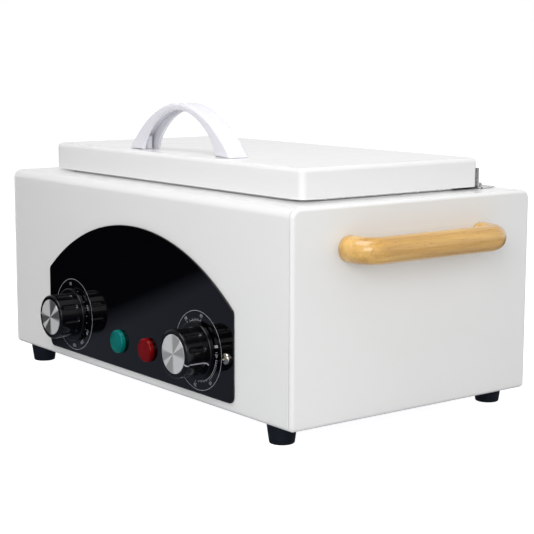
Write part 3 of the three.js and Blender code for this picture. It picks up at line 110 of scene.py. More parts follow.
class FrontSizes(PropertyGroup):
    """Sizes of the fascia, lamps, knobs and printed scales."""

    fascia_rise: length("Fascia rise", 39.5, "Rise of the fascia's arch above its shoulders")
    fascia_corner_radius: length("Fascia corner radius", 4.5, "Radius of the fascia's four corners")
    fascia_edge: length("Fascia edge", 0.3, "Rounding of the fascia's front edge")
    lens_bevel: length("Lens bevel", 1.3, "Slope round a lamp lens")
    knob_radius: length("Knob radius", 14.8, "Radius of a knob's grip")
    knob_edge: length("Knob edge", 1.1, "Rounding of a knob's front edge")
    flute_radius: length("Flute radius", 3.1, "Radius of the round cutter that scoops out one flute")
    flute_depth: length("Flute depth", 0.8, "Depth of a flute at its middle")
    flute_start: length("Flute start", 1.8, "Plain rim between a knob's front and its flutes")
    flute_end: length("Flute end", 0.6, "Plain band between the flutes and the skirt")
    flutes: IntProperty(name="Flutes", description="How many flutes go round a knob", default=10, min=3)
    skirt_radius: length("Skirt radius", 18, "Radius of the disc at a knob's foot")
    skirt_thickness: length("Skirt thickness", 2.6, "Thickness of the disc at a knob's foot")
    skirt_edge: length("Skirt edge", 0.7, "Rounding of the skirt's front edge")
    pointer_width: length("Pointer width", 0.85, "Width of the pointer line on a knob")
    temperature_pointer: angle("Temperature pointer", 274, "Pointer at rest, clockwise from the top")
    timer_pointer: angle("Timer pointer", 110, "Pointer at rest, clockwise from the top")
    scale_ring_radius: length("Scale ring radius", 24.3, "Radius of the line round each scale")
    scale_line: length("Scale line", 0.3, "Width of the printed lines")
    print_height: length("Print height", 0.03, "How proud the printing stands")
    figure_height: length("Figure height", 3.0, "Type size of the numbers")


class ChamberSizes(PropertyGroup):
    """Sizes of the heated tank and its tray."""

    tank_corner_radius: length("Tank corner radius", 14, "Outer radius of the tank's upright corners")
    tank_edge_radius: length("Tank edge radius", 5, "Outer radius round the tank's floor")
    tank_wall: length("Tank wall", 1, "Thickness of the tank's sheet")
    tank_flange: length("Tank flange", 5, "Width of the rim that rests on the case")
    tray_corner_radius: length("Tray corner radius", 10, "Outer radius of the tray's upright corners")
    tray_edge_radius: length("Tray edge radius", 3, "Outer radius round the tray's floor")
    slot_length: length("Slot length", 24, "Length of a slot in the tray's floor")
    slot_width: length("Slot width", 5, "Width of a slot in the tray's floor")


class LidSizes(PropertyGroup):
    """Sizes of the lid, its handle and its hinge."""

    corner_radius: length("Corner radius", 4, "Outer radius of the lid's upright corners")
    edge_radius: length("Edge radius", 3, "Outer radius round the lid's top")
    pan_wall: length("Pan wall", 0.8, "Thickness of the inner pan")
    pan_corner_radius: length("Pan corner radius", 2.8, "Outer radius of the inner pan's corners")
    pan_edge_radius: length("Pan edge radius", 2, "Outer radius round the inner pan's floor")
    grip_power: power("Grip power", 0.93, "How pointed the handle's arch is")
    grip_inner_half_span: length("Grip inner half span", 41.6, "Half the width of the handle's opening")
    grip_inner_height: length("Grip inner height", 27.4, "Height of the handle's opening")
    grip_inner_power: power("Grip inner power", 0.69, "How pointed the handle's opening is")
    grip_skin: length("Grip skin", 2.6, "Thickness of the handle's outer skin")
    grip_cheek: length("Grip cheek", 2.4, "Thickness of the handle's two cheeks")
    grip_edge: length("Grip edge", 2.1, "Rounding of the handle's outer edges")
    knuckle_radius: length("Knuckle radius", 1.9, "Outer radius of the hinge's knuckles")
    knuckles: IntProperty(name="Knuckles", description="How many knuckles the hinge has", default=11, min=3)


class BarSizes(PropertyGroup):
    """Sizes of the wooden carrying handles."""

    radius: length("Radius", 7.8, "Radius of the round wooden bar")
    bend_radius: length("Bend radius", 10.6, "Centre-line radius of a bar's two bends")


class Colours(PropertyGroup):
    """Main colours of the finishes."""

    enamel: colour("Enamel", (0.83, 0.835, 0.83), "Baked enamel of the case and lid")
    fascia: colour("Fascia", (0.0006, 0.0007, 0.0011), "Gloss plate behind the knobs")
    knob: colour("Knob", (0.0022, 0.0024, 0.0034), "Moulded knobs")
    green_lens: colour("Green lens", (0.0, 0.2, 0.18), "Lens of the left lamp")
    red_lens: colour("Red lens", (0.235, 0.001, 0.002), "Lens of the right lamp")
    grip: colour("Grip", (0.78, 0.78, 0.83), "Moulded lid handle")
    wood: colour("Wood", (0.74, 0.45, 0.12), "Varnished beech handles")
    wood_dark: colour("Dark wood", (0.47, 0.24, 0.055), "Figure in the beech")
    rubber: colour("Rubber", (0.004, 0.006, 0.011), "Moulded feet")
    figures: colour("Figures", (0.4, 0.41, 0.45), "Printed scales and pointer lines")
    floor: colour("Floor", (0.45, 0.45, 0.45), "Studio floor")


class Studio(PropertyGroup):
    """The camera and the light."""

    camera_place: FloatVectorProperty(
        name="Camera place", description="Where the camera stands", default=(0.7729, -0.57129, 0.22421),
        subtype="TRANSLATION", unit="LENGTH"
    )
    azimuth: angle("Azimuth", 52.579, "The camera's turn round the object, from straight ahead")
    elevation: angle("Elevation", 8.651, "The camera's tilt above the horizon")
    roll: angle("Roll", 0.1334, "The camera's turn about its own view")
    lens: FloatProperty(
        name="Lens", description="Focal length on a 36 mm sensor", default=96.903, min=1, unit="CAMERA"
    )
    ambient: FloatProperty(name="Ambient", description="Strength of the light from all round", default=0.87)
    ambient_slope: FloatVectorProperty(
        name="Ambient slope", description="How much stronger that light is towards the right, the rear and the top",
        default=(0.2, 0.3, -0.6)
    )
    top_light: FloatProperty(name="Top light", description="Power of the softbox overhead", default=5.2, unit="POWER")
    front_light: FloatProperty(
        name="Front light", description="Power of the softbox in front", default=0.2, unit="POWER"
    )
    side_light: FloatProperty(
        name="Side light", description="Power of the softbox at the front right", default=3.8, unit="POWER"
    )
    floor_glow: FloatProperty(name="Floor glow", description="Light that the backlit floor gives off", default=0.16)
    floor_white: FloatProperty(name="Floor white", description="How bright the camera sees that glow", default=0.93)


# Picking, shaping and finishing
def deselect():
    if bpy.context.mode != "OBJECT":
        bpy.ops.object.mode_set(mode="OBJECT")
    bpy.ops.object.select_all(action="DESELECT")


def pick_only(*objects):
    deselect()
    for obj in objects:
        obj.select_set(True)
    bpy.context.view_layer.objects.active = objects[0]


def apply_place(obj):
    pick_only(obj)
    bpy.ops.object.transform_apply(location=True, rotation=True, scale=True)


def named(name):
    obj = bpy.context.active_object
    obj.name = name
    obj.data.name = name
    return obj


def spot(axis, level, centre):
    """The point at a level on an axis whose two other coordinates are given in order."""
    point = list(centre)
    point.insert("xyz".index(axis), level)
    return Vector(point)


def add_block(name, low, high):
    low, high = Vector(low), Vector(high)
    deselect()
    bpy.ops.mesh.primitive_cube_add(size=1, location=(low + high) / 2)
    obj = named(name)
    obj.scale = high - low
    apply_place(obj)
    return obj


def add_sheet(name, place, turn, width, depth):
    """A flat sheet that is level unless it is turned."""
    deselect()
    bpy.ops.mesh.primitive_plane_add(size=1, location=place, rotation=turn)
    sheet = named(name)
    sheet.scale = (width, depth, 1)
    apply_place(sheet)
    return sheet


TURNS = {"x": (0, QUARTER, 0), "y": (QUARTER, 0, 0), "z": (0, 0, 0)}


def add_drum(name, axis, radius, start, end, centre, sides=48, far_radius=None):
    """A round bar along an axis. Its far radius is at the upper end of a bar along Z."""
    deselect()
    bpy.ops.mesh.primitive_cone_add(
        vertices=sides,
        radius1=radius,
        radius2=radius if far_radius is None else far_radius,
        depth=abs(end - start),
        location=spot(axis, (start + end) / 2, centre),
        rotation=TURNS[axis],
    )
    obj = named(name)
    apply_place(obj)
    return obj


def copy_of(obj, name):
    twin = obj.copy()
    twin.data = obj.data.copy()
    twin.name = name
    twin.data.name = name
    bpy.context.scene.collection.objects.link(twin)
    return twin


def discard(*objects):
    for obj in objects:
        bpy.data.objects.remove(obj, do_unlink=True)


def start_shaping(obj):
    pick_only(obj)
    bpy.ops.object.mode_set(mode="EDIT")
    bpy.ops.mesh.select_all(action="DESELECT")


def choose_all():
    bpy.ops.mesh.select_all(action="SELECT")


def choose(obj, element, *tests):
    """Selects the vertices, edges or faces that pass every test."""
    bpy.ops.mesh.select_mode(type=element)
    bpy.ops.mesh.select_all(action="DESELECT")
    mesh = bmesh.from_edit_mesh(obj.data)
    mesh.normal_update()
    parts = {"VERT": mesh.verts, "EDGE": mesh.edges, "FACE": mesh.faces}[element]
    found = [part for part in parts if all(test(part) for test in tests)]
    if not found:
        raise RuntimeError(f"{obj.name}: nothing was found to shape")
    for part in found:
        part.select_set(True)
    mesh.select_flush_mode()
    bmesh.update_edit_mesh(obj.data)


def drop_faces(obj, *tests):
    choose(obj, "FACE", *tests)
    bpy.ops.mesh.delete(type="FACE")


def corners(part):
    return [part.co] if isinstance(part, bmesh.types.BMVert) else [vert.co for vert in part.verts]


def at_level(axis, level):
    i = "xyz".index(axis)
    return lambda part: all(abs(point[i] - level) < CLOSE for point in corners(part))


def beyond(axis, level, way=1):
    i = "xyz".index(axis)
    return lambda part: all(way * (point[i] - level) > -CLOSE for point in corners(part))


def running(axis):
    i = "xyz".index(axis)

    def test(edge):
        run = edge.verts[1].co - edge.verts[0].co
        return abs(run[i]) > ALONG * run.length

    return test


def facing(*direction):
    way = Vector(direction)
    return lambda face: face.normal.dot(way) > PARALLEL


def round_edges(obj, radius, steps, *tests):
    choose(obj, "EDGE", *tests)
    bpy.ops.mesh.bevel(offset=radius, segments=steps, affect="EDGES")


def push(x=0, y=0, z=0):
    """Extrudes what is selected and moves it."""
    bpy.ops.mesh.extrude_region_move(TRANSFORM_OT_translate={"value": (x, y, z)})


def inset(thickness):
    bpy.ops.mesh.inset(thickness=thickness)


def resize(centre, x=1, y=1, z=1):
    bpy.ops.transform.resize(value=(x, y, z), center_override=centre)


def soften(obj, radius, steps, *tests):
    """Rounds edges of a piece that isn't being edited."""
    start_shaping(obj)
    round_edges(obj, radius, steps, *tests)
    deselect()


def face_outwards(reach=0.001 * MM):
    """Merges the points that lie within reach of each other, and turns every face outwards."""
    choose_all()
    bpy.ops.mesh.remove_doubles(threshold=reach)
    choose_all()
    bpy.ops.mesh.normals_make_consistent(inside=False)


def slice_off(obj, point, direction):
    """Cuts the whole shape at a plane, drops what lies ahead of it and closes the cut."""
    choose_all()
    bpy.ops.mesh.bisect(plane_co=point, plane_no=direction, use_fill=True, clear_outer=True)


def modify(obj, kind, **settings):
    change = obj.modifiers.new(kind.lower(), kind)
    for key, value in settings.items():
        setattr(change, key, value)
    pick_only(obj)
    bpy.ops.object.modifier_apply(modifier=change.name)


def carve(obj, *cutters, operation="DIFFERENCE"):
    for cutter in cutters:
        modify(obj, "BOOLEAN", object=cutter, operation=operation, solver="EXACT")
        discard(cutter)
    return obj


def fuse(obj, *others):
    return carve(obj, *others, operation="UNION")


def join(name, *objects):
    pick_only(*objects)
    if len(objects) > 1:
        bpy.ops.object.join()
    return named(name)


def add_slab(name, axis, low, high, radius, steps=6):
    """A block whose four edges along one axis are rounded."""
    obj = add_block(name, low, high)
    start_shaping(obj)
    round_edges(obj, radius, steps, running(axis))
    return obj


def settle(obj, body, material, nodes=(), smooth=35):
    """Applies the place, smooths the shading, and puts a finished piece on its body."""
    apply_place(obj)
    bpy.ops.object.shade_smooth_by_angle(angle=math.radians(smooth))
    modify(obj, "WEIGHTED_NORMAL", keep_sharp=True)
    obj.data.materials.clear()
    obj.data.materials.append(material)
    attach(obj, body)
    if nodes:
        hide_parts(*nodes)
    return obj


def mirrored(obj, name):
    """A piece's twin at the other end of the case."""
    twin = copy_of(obj, name)
    twin.scale.x = -1
    apply_place(twin)
    start_shaping(twin)
    face_outwards()
    return twin


def middle(node):
    low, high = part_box(node)
    return (low + high) / 2


def across(node, axis):
    """The two other coordinates of a node's middle, in order."""
    place = list(middle(node))
    del place["xyz".index(axis)]
    return place


def turned_at(place, turn):
    """Brings a shape from the origin to a place, turned about the Y axis."""
    return Matrix.Translation(place) @ Matrix.Rotation(turn, 4, "Y")


def pair(name):
    return [f"{side}_{name}" for side in ("left", "right")]


def holes_at(nodes, axis, radius, start, end):
    """Round cutters along an axis, one at the middle of each node."""
    return [add_drum("hole", axis, radius, start, end, across(node, axis), 24) for node in nodes]


# Shader node groups that several finishes share
def shader_group(name, inputs, outputs):
    tree = bpy.data.node_groups.new(name, "ShaderNodeTree")
    for label, kind in inputs:
        tree.interface.new_socket(name=label, in_out="INPUT", socket_type="NodeSocket" + kind)
    for label, kind in outputs:
        tree.interface.new_socket(name=label, in_out="OUTPUT", socket_type="NodeSocket" + kind)
    return tree, tree.nodes.new("NodeGroupInput").outputs, tree.nodes.new("NodeGroupOutput").inputs


def blank_tree(owner):
    """The emptied node tree of a material or a world."""
    owner.use_nodes = True
    owner.node_tree.nodes.clear()
    return owner.node_tree


def feed(tree, socket, value):
    """Links another socket to this one, or sets its value."""
    if isinstance(value, bpy.types.NodeSocket):
        tree.links.new(value, socket)
    else:
        socket.default_value = value


def put(tree, kind, settings=None, **inputs):
    """Adds a node. Inputs are named with underscores for spaces, and are values or other sockets."""
    made = tree.nodes.new("ShaderNode" + kind)
    for key, value in (settings or {}).items():
        setattr(made, key, value)
    for key, value in inputs.items():
        feed(tree, made.inputs[key.replace("_", " ")], value)
    return made.outputs


def noise(tree, vector, scale, detail=3, roughness=0.5):
    return put(tree, "TexNoise", Vector=vector, Scale=scale, Detail=detail, Roughness=roughness)["Fac"]


def spread(tree, value, low, high, start=0.0, end=1.0):
    return put(
        tree, "MapRange", Value=value, From_Min=low, From_Max=high, To_Min=start, To_Max=end
    )["Result"]


def calculate(tree, operation, *values):
    made = tree.nodes.new("ShaderNodeMath")
    made.operation = operation
    for socket, value in zip(made.inputs, values):
        feed(tree, socket, value)
    return made.outputs[0]


def blend_colours(tree, factor, first, second, way="MIX"):
    made = tree.nodes.new("ShaderNodeMix")
    made.data_type = "RGBA"
    made.blend_type = way
    sockets = [s for s in made.inputs if s.enabled]
    for socket, value in zip(sockets, (factor, first, second)):
        feed(tree, socket, value)
    return next(s for s in made.outputs if s.enabled)


def stretched(tree, vector, x, y, z):
    return put(tree, "Mapping", Vector=vector, Scale=(x, y, z))["Vector"]


SURFACE_INPUTS = [("Vector", "Vector"), ("Base", "Color"), ("Second", "Color"), ("Smooth", "Float"), ("Rough", "Float")]
SURFACE_OUTPUTS = [("Color", "Color"), ("Roughness", "Float"), ("Height", "Float")]


def send(tree, outputs, tone, given, smudge, height):
    tree.links.new(blend_colours(tree, tone, given["Base"], given["Second"]), outputs["Color"])
    made = spread(tree, smudge, 0.3, 0.7, given["Smooth"], given["Rough"])
    tree.links.new(made, outputs["Roughness"])
    tree.links.new(height, outputs["Height"])
    return tree


def moulded_group():
    """Even surface with a faint drift of tone, handled patches and a fine ripple."""
    extra = [("Tone Scale", "Float"), ("Grain Scale", "Float")]
    tree, given, outputs = shader_group("Moulded Surface", SURFACE_INPUTS + extra, SURFACE_OUTPUTS)
    tone = spread(tree, noise(tree, given["Vector"], given["Tone Scale"], 4), 0.35, 0.65)
    patches = noise(tree, given["Vector"], calculate(tree, "MULTIPLY", given["Tone Scale"], 2.3), 5, 0.6)
    ripple = noise(tree, given["Vector"], given["Grain Scale"], 2)
    return send(tree, outputs, tone, given, patches, ripple)


def brushed_group():
    """Fine parallel lines, for a vector that is already stretched along them."""
    tree, given, outputs = shader_group("Brushed Lines", SURFACE_INPUTS, SURFACE_OUTPUTS)
    fine = noise(tree, given["Vector"], 1.0, 3, 0.65)
    broad = noise(tree, given["Vector"], 0.13, 2)
    tone = calculate(tree, "MULTIPLY", spread(tree, fine, 0.3, 0.7), spread(tree, broad, 0.2, 0.8))
    return send(tree, outputs, tone, given, broad, fine)


def spun_group():
    """Turned rings round two centres at equal distances from the middle, with a painted fan of reflected light.

    The painted fan has a broad and a narrow bright wedge in each half turn, and is stronger on the left.
    """
    extra = [("Centre Distance", "Float"), ("Ring Scale", "Float"), ("Left Fan", "Float"), ("Right Fan", "Float")]
    tree, given, outputs = shader_group("Spun Rings", SURFACE_INPUTS + extra, SURFACE_OUTPUTS)
    place = put(tree, "SeparateXYZ", Vector=given["Vector"])
    side = calculate(tree, "SIGN", place["X"])
    sideways = calculate(tree, "SUBTRACT", place["X"], calculate(tree, "MULTIPLY", side, given["Centre Distance"]))
    squares = [calculate(tree, "MULTIPLY", value, value) for value in (sideways, place["Z"])]
    radius = calculate(tree, "SQRT", calculate(tree, "ADD", *squares))
    position = calculate(tree, "MULTIPLY", radius, given["Ring Scale"])
    rings = put(tree, "TexNoise", {"noise_dimensions": "1D"}, W=position, Scale=1.0, Detail=4, Roughness=0.7)["Fac"]
    # Painted reflection: bright wedges at fixed angles with painted shade between them, stronger on the left cap than
    # on the right
    twice = calculate(tree, "MULTIPLY", calculate(tree, "ARCTAN2", sideways, place["Z"]), 2.0)
    painted_wedges = []
    for middle_of_painted_wedge, near, full in ((136, -0.15, 0.4), (50, 0.9, 0.985)):
        turned = calculate(tree, "SUBTRACT", twice, math.radians(2 * middle_of_painted_wedge))
        painted_wedges.append(spread(tree, calculate(tree, "COSINE", turned), near, full))
    dark = calculate(tree, "SUBTRACT", 1.0, calculate(tree, "MAXIMUM", *painted_wedges))
    strength = spread(tree, side, -1.0, 1.0, given["Left Fan"], given["Right Fan"])
    grooves = calculate(tree, "MULTIPLY", spread(tree, rings, 0.35, 0.65), 0.12)
    tone = calculate(tree, "ADD", calculate(tree, "MULTIPLY", dark, strength), grooves)
    return send(tree, outputs, tone, given, rings, rings)


def timber_group():
    """Straight grain along Y, with broad figure, fine fibres and short dark flecks."""
    extra = [("Fleck", "Color")]
    tree, given, outputs = shader_group("Timber", SURFACE_INPUTS + extra, SURFACE_OUTPUTS)
    figure = noise(tree, stretched(tree, given["Vector"], 150, 9, 150), 1.0, 4, 0.55)
    fibres = noise(tree, stretched(tree, given["Vector"], 1400, 70, 1400), 1.0, 3, 0.6)
    flecks = noise(tree, stretched(tree, given["Vector"], 1500, 330, 1500), 1.0, 1)
    streaks = calculate(tree, "MULTIPLY", spread(tree, fibres, 0.35, 0.75), 0.35)
    tone = calculate(tree, "ADD", calculate(tree, "MULTIPLY", spread(tree, figure, 0.38, 0.66), 0.75), streaks)
    wood = blend_colours(tree, tone, given["Base"], given["Second"])
    dark = calculate(tree, "MULTIPLY", spread(tree, flecks, 0.66, 0.76), 0.6)
    tree.links.new(blend_colours(tree, dark, wood, given["Fleck"]), outputs["Color"])
    tree.links.new(spread(tree, fibres, 0.3, 0.7, given["Smooth"], given["Rough"]), outputs["Roughness"])
    tree.links.new(calculate(tree, "SUBTRACT", fibres, dark), outputs["Height"])
    return tree


def matted_group():
    """Tangled fibres or pressed flakes."""
    extra = [("Fibre Scale", "Float")]
    tree, given, outputs = shader_group("Matted Fibres", SURFACE_INPUTS + extra, SURFACE_OUTPUTS)
    bent = put(
        tree, "TexNoise", Vector=given["Vector"], Scale=given["Fibre Scale"], Detail=6, Roughness=0.75, Distortion=2.5
    )["Fac"]
    cells = put(
        tree, "TexVoronoi", Vector=given["Vector"], Scale=calculate(tree, "MULTIPLY", given["Fibre Scale"], 0.6)
    )["Distance"]
    height = calculate(tree, "ADD", bent, calculate(tree, "MULTIPLY", cells, 0.5))
    return send(tree, outputs, spread(tree, bent, 0.35, 0.7), given, cells, height)


GROUP_MAKERS = {
    "moulded": moulded_group,
    "brushed": brushed_group,
    "spun": spun_group,
    "timber": timber_group,
    "matted": matted_group,
}
groups = {}
finishes = {}


def finish(name, group, base, second, roughness, bump, stretch=None, centre=None, extra=None, **sockets):
    """A Principled material whose colour, roughness and relief come from one shared group."""
    if name in finishes:
        return finishes[name]
    if group not in groups:
        groups[group] = GROUP_MAKERS[group]()
    material = finishes[name] = bpy.data.materials.new(name)
    tree = blank_tree(material)
    place = put(tree, "TexCoord")["Object"]
    if centre:
        place = put(tree, "Mapping", Vector=place, Location=tuple(-value for value in centre))["Vector"]
    if stretch:
        place = stretched(tree, place, *stretch)
    pattern = tree.nodes.new("ShaderNodeGroup")
    pattern.node_tree = groups[group]
    tree.links.new(place, pattern.inputs["Vector"])
    pattern.inputs["Base"].default_value = (*base, 1)
    pattern.inputs["Second"].default_value = (*second, 1)
    pattern.inputs["Smooth"].default_value, pattern.inputs["Rough"].default_value = roughness
    for key, value in (extra or {}).items():
        pattern.inputs[key].default_value = value
    shader = tree.nodes.new("ShaderNodeBsdfPrincipled")
    for key, value in sockets.items():
        shader.inputs[key.replace("_", " ")].default_value = value
    tree.links.new(pattern.outputs["Color"], shader.inputs["Base Color"])
    tree.links.new(pattern.outputs["Roughness"], shader.inputs["Roughness"])
    relief = put(tree, "Bump", Height=pattern.outputs["Height"], Distance=bump, Strength=1.0)
    tree.links.new(relief["Normal"], shader.inputs["Normal"])
    put(tree, "OutputMaterial", Surface=shader.outputs["BSDF"])
    return material


def tinted(base, share):
    return tuple(min(1.0, value * share) for value in base)


def moulded(name, base, roughness, tone=9.0, grain=900.0, bump=0.006, drift=0.93, **sockets):
    extra = {"Tone Scale": tone, "Grain Scale": grain}
    return finish(name, "moulded", base, tinted(base, drift), roughness, bump * MM, extra=extra, **sockets)


def chosen(name):
    return getattr(bpy.context.scene.sterilizer_colours, name)


def enamel():
    return moulded(
        "baked_enamel", chosen("enamel"), (0.2, 0.27), tone=7, grain=620, bump=0.0045, drift=0.985,
        Coat_Weight=0.35, Coat_Roughness=0.06, Specular_IOR_Level=0.5
    )


def fascia_gloss():
    return moulded("fascia_gloss", chosen("fascia"), (0.035, 0.06), tone=14, grain=450, bump=0.0008, drift=0.7)


def knob_plastic():
    return moulded(
        "knob_plastic", chosen("knob"), (0.1, 0.17), tone=60, grain=2600, bump=0.0016, drift=0.7,
        Specular_IOR_Level=0.35
    )


def lamp_plastic():
    return moulded("moulded_black", (0.012, 0.012, 0.014), (0.32, 0.48), tone=50, grain=2200, bump=0.006, drift=0.8)


def grip_plastic():
    return moulded("grip_plastic", chosen("grip"), (0.26, 0.36), tone=20, grain=1500, bump=0.004, drift=0.98)


def ivory_plastic():
    return moulded("ivory_plastic", (0.62, 0.57, 0.42), (0.38, 0.5), tone=40, grain=1800, bump=0.006)


def foot_rubber():
    return moulded(
        "foot_rubber", chosen("rubber"), (0.42, 0.6), tone=70, grain=2400, bump=0.012, drift=1.6,
        Specular_IOR_Level=0.2
    )


def lens_finish(name, base):
    return moulded(
        name, base, (0.05, 0.1), tone=90, grain=700, bump=0.003, drift=0.7,
        Transmission_Weight=0.2, IOR=1.49, Specular_IOR_Level=0.1
    )


def wire_finish(name, base):
    return moulded(name, base, (0.35, 0.5), tone=60, grain=1900, bump=0.006)


def matted(name, base, second, roughness, bump, scale):
    return finish(name, "matted", base, second, roughness, bump * MM, extra={"Fibre Scale": scale})


def sleeve_finish():
    base = (0.68, 0.67, 0.62)
    return matted("glass_sleeve", base, tinted(base, 0.8), (0.6, 0.75), 0.05, 900.0)


def figure_ink():
    return moulded("figure_ink", chosen("figures"), (0.4, 0.52), tone=300, grain=2500, bump=0.002, drift=0.8)


def brushed(name, base, second, roughness, stretch, bump=0.004):
    return finish(name, "brushed", base, second, roughness, bump * MM, stretch=stretch, Metallic=1.0)


def stainless():
    return brushed("brushed_stainless", (0.66, 0.66, 0.65), (0.5, 0.5, 0.5), (0.2, 0.32), (25, 1800, 1800))


def zinc():
    base = (0.52, 0.54, 0.57)
    return moulded("zinc_plate", base, (0.28, 0.42), tone=110, grain=1300, bump=0.004, drift=0.8, Metallic=1.0)


def nickel():
    base = (0.66, 0.63, 0.54)
    return moulded("nickel_plate", base, (0.1, 0.2), tone=150, grain=1600, bump=0.002, drift=0.85, Metallic=1.0)


def brass():
    return brushed("machined_brass", (0.62, 0.42, 0.16), (0.5, 0.33, 0.12), (0.2, 0.34), (1500, 9000, 1500))


def copper():
    return brushed("drawn_copper", (0.62, 0.32, 0.19), (0.4, 0.2, 0.13), (0.25, 0.4), (1200, 60, 1200))


def spun_aluminium():
    left, right = middle("temperature_knob"), middle("timer_knob")
    # The dark second colour is mostly the painted shade between the fan's bright wedges, a little the ring grooves; the
    # painted fan is stronger on the left cap
    extra = {"Centre Distance": (right.x - left.x) / 2, "Ring Scale": 9000.0, "Left Fan": 0.95, "Right Fan": 0.5}
    return finish(
        "turned_aluminium", "spun", (0.98, 0.98, 0.96), (0.13, 0.128, 0.126), (0.45, 0.6), 0.0004 * MM,
        centre=((left.x + right.x) / 2, 0, right.z), extra=extra, Metallic=0.68
    )


def beech():
    extra = {"Fleck": (0.3, 0.13, 0.04, 1)}
    return finish(
        "varnished_beech", "timber", chosen("wood"), chosen("wood_dark"), (0.34, 0.46), 0.006 * MM, extra=extra,
        Coat_Weight=0.7, Coat_Roughness=0.07
    )


def wool():
    return matted("mineral_wool", (0.7, 0.62, 0.36), (0.5, 0.42, 0.22), (0.85, 0.95), 0.5, 260.0)


def mica():
    return matted("pressed_mica", (0.5, 0.4, 0.22), (0.36, 0.28, 0.15), (0.4, 0.6), 0.03, 420.0)


def green_lens():
    return lens_finish("green_acrylic", chosen("green_lens"))


def red_lens():
    return lens_finish("red_acrylic", chosen("red_lens"))


# Screws with a cross recess
CROSS_TAPER = (0.45, 0.7)  # how much of a slot's length and width is left at its floor
# Points up a head's side: share of its radius, share of its height
DOMED = ((1, 0.35), (0.93, 0.6), (0.8, 0.8), (0.62, 0.92), (0.36, 1))
PAN = ((1, 0.62), (0.94, 0.86), (0.84, 1))


def cross_screw(name, head_radius, head_height, shank_radius, shank_length, dome):
    """A screw whose head's seat is at the origin and whose head points up."""
    screw = add_drum(name, "z", shank_radius, -shank_length, 0, (0, 0), 32)
    start_shaping(screw)
    choose(screw, "FACE", at_level("z", 0))
    push()
    share = head_radius / shank_radius
    resize((0, 0, 0), share, share)
    radius, height = head_radius, 0
    for out, up in dome:
        push(z=head_height * up - height)
        height = head_height * up
        share = head_radius * out / radius
        resize((0, 0, height), share, share)
        radius = head_radius * out
    long, wide, floor = 0.58 * head_radius, 0.14 * head_radius, 0.4 * head_height
    for turn in (0, QUARTER):
        slot = add_block("slot", (-long, -wide, floor), (long, wide, head_height + OVERRUN))
        start_shaping(slot)
        choose(slot, "FACE", at_level("z", floor))
        resize((0, 0, floor), *CROSS_TAPER)
        deselect()
        slot.rotation_euler.z = turn
        apply_place(slot)
        carve(screw, slot)
    return screw


def place_screws(model, nodes, axis, seat, turn, material):
    """Copies one screw to each node that it stands for, with its head's seat at a level on an axis."""
    for node in nodes:
        screw = copy_of(model, node + "_detail")
        screw.matrix_world = Matrix.Translation(spot(axis, seat, across(node, axis))) @ turn
        settle(screw, "case", material, (node,))
    discard(model)


class STERILIZER_OT_case_wrap(Operator):
    """Fold the sheet that makes the front, top, rear and bottom flanges"""

    bl_idname = "sterilizer.case_wrap"
    bl_label = "Case wrap"
    bl_options = {"REGISTER", "UNDO"}

    def execute(self, context):
        sizes = context.scene.sterilizer_case
        low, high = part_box("case_wrap")
        wrap = add_block("case_wrap_sheet", low, high)
        start_shaping(wrap)
        drop_faces(wrap, lambda face: abs(face.normal.x) > PARALLEL)
        round_edges(wrap, sizes.bend_radius, 10, running("x"), at_level("z", high.z))
        round_edges(wrap, sizes.fold_radius, 6, running("x"), at_level("z", low.z))
        front_flange, rear_flange = low.y + sizes.flange_width, high.y - sizes.flange_width
        for edge in (front_flange, rear_flange):
            choose(wrap, "FACE", at_level("z", low.z))
            bpy.ops.mesh.bisect(plane_co=(0, edge, 0), plane_no=(0, 1, 0))
        drop_faces(wrap, at_level("z", low.z), beyond("y", front_flange), beyond("y", rear_flange, -1))
        deselect()
        modify(wrap, "SOLIDIFY", thickness=sizes.sheet, offset=-1, use_even_offset=True)
        for end in (low.x, high.x):
            soften(wrap, sizes.seam_edge, 3, at_level("x", end))
        carve(wrap, self.chamber_mouth(context, high), *front_holes(low.y), *self.rear_holes(high), *foot_holes(low.z))
        settle(wrap, "case", enamel(), ("case_wrap",))
        return {"FINISHED"}

    def chamber_mouth(self, context, high):
        chamber = context.scene.sterilizer_chamber
        low_tank, high_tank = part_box("tank")
        rim = chamber.tank_flange - FIT
        start = (low_tank.x + rim, low_tank.y + rim, high.z - 3 * OVERRUN)
        end = (high_tank.x - rim, high_tank.y - rim, high.z + OVERRUN)
        return add_slab("mouth", "z", start, end, chamber.tank_corner_radius + FIT, 10)

    def rear_holes(self, high):
        centre = middle("power_inlet")
        half_width, half_height, radius = 13.8 * MM, 10 * MM, 3 * MM
        start = (centre.x - half_width, high.y - 2 * OVERRUN, centre.z - half_height)
        end = (centre.x + half_width, high.y + OVERRUN, centre.z + half_height)
        screw_holes = holes_at(pair("inlet_screw"), "y", SMALL_HOLE, start[1], end[1])
        return [add_slab("inlet_hole", "y", start, end, radius), *screw_holes]


def front_holes(face):
    """Cutters through the front for the shafts, lamps and plate screws."""
    radii = {
        "temperature_knob": 5, "timer_knob": 5, "green_lamp_lens": 6.1, "red_lamp_lens": 6.1,
        "left_fascia_screw": 2.1, "right_fascia_screw": 2.1,
    }
    start, end = face - 3 * OVERRUN, face + 3 * OVERRUN
    return [
        add_drum("hole", "y", radius * MM, start, end, across(node, "y"), 40) for node, radius in radii.items()
    ]


BAR_SCREWS = ("right_side_handle_front_screw", "right_side_handle_rear_screw")
FEET = ("front_left_foot", "front_right_foot", "rear_left_foot", "rear_right_foot")


def foot_holes(level):
    return holes_at(FEET, "z", LARGE_HOLE, level - OVERRUN, level + 3 * OVERRUN)


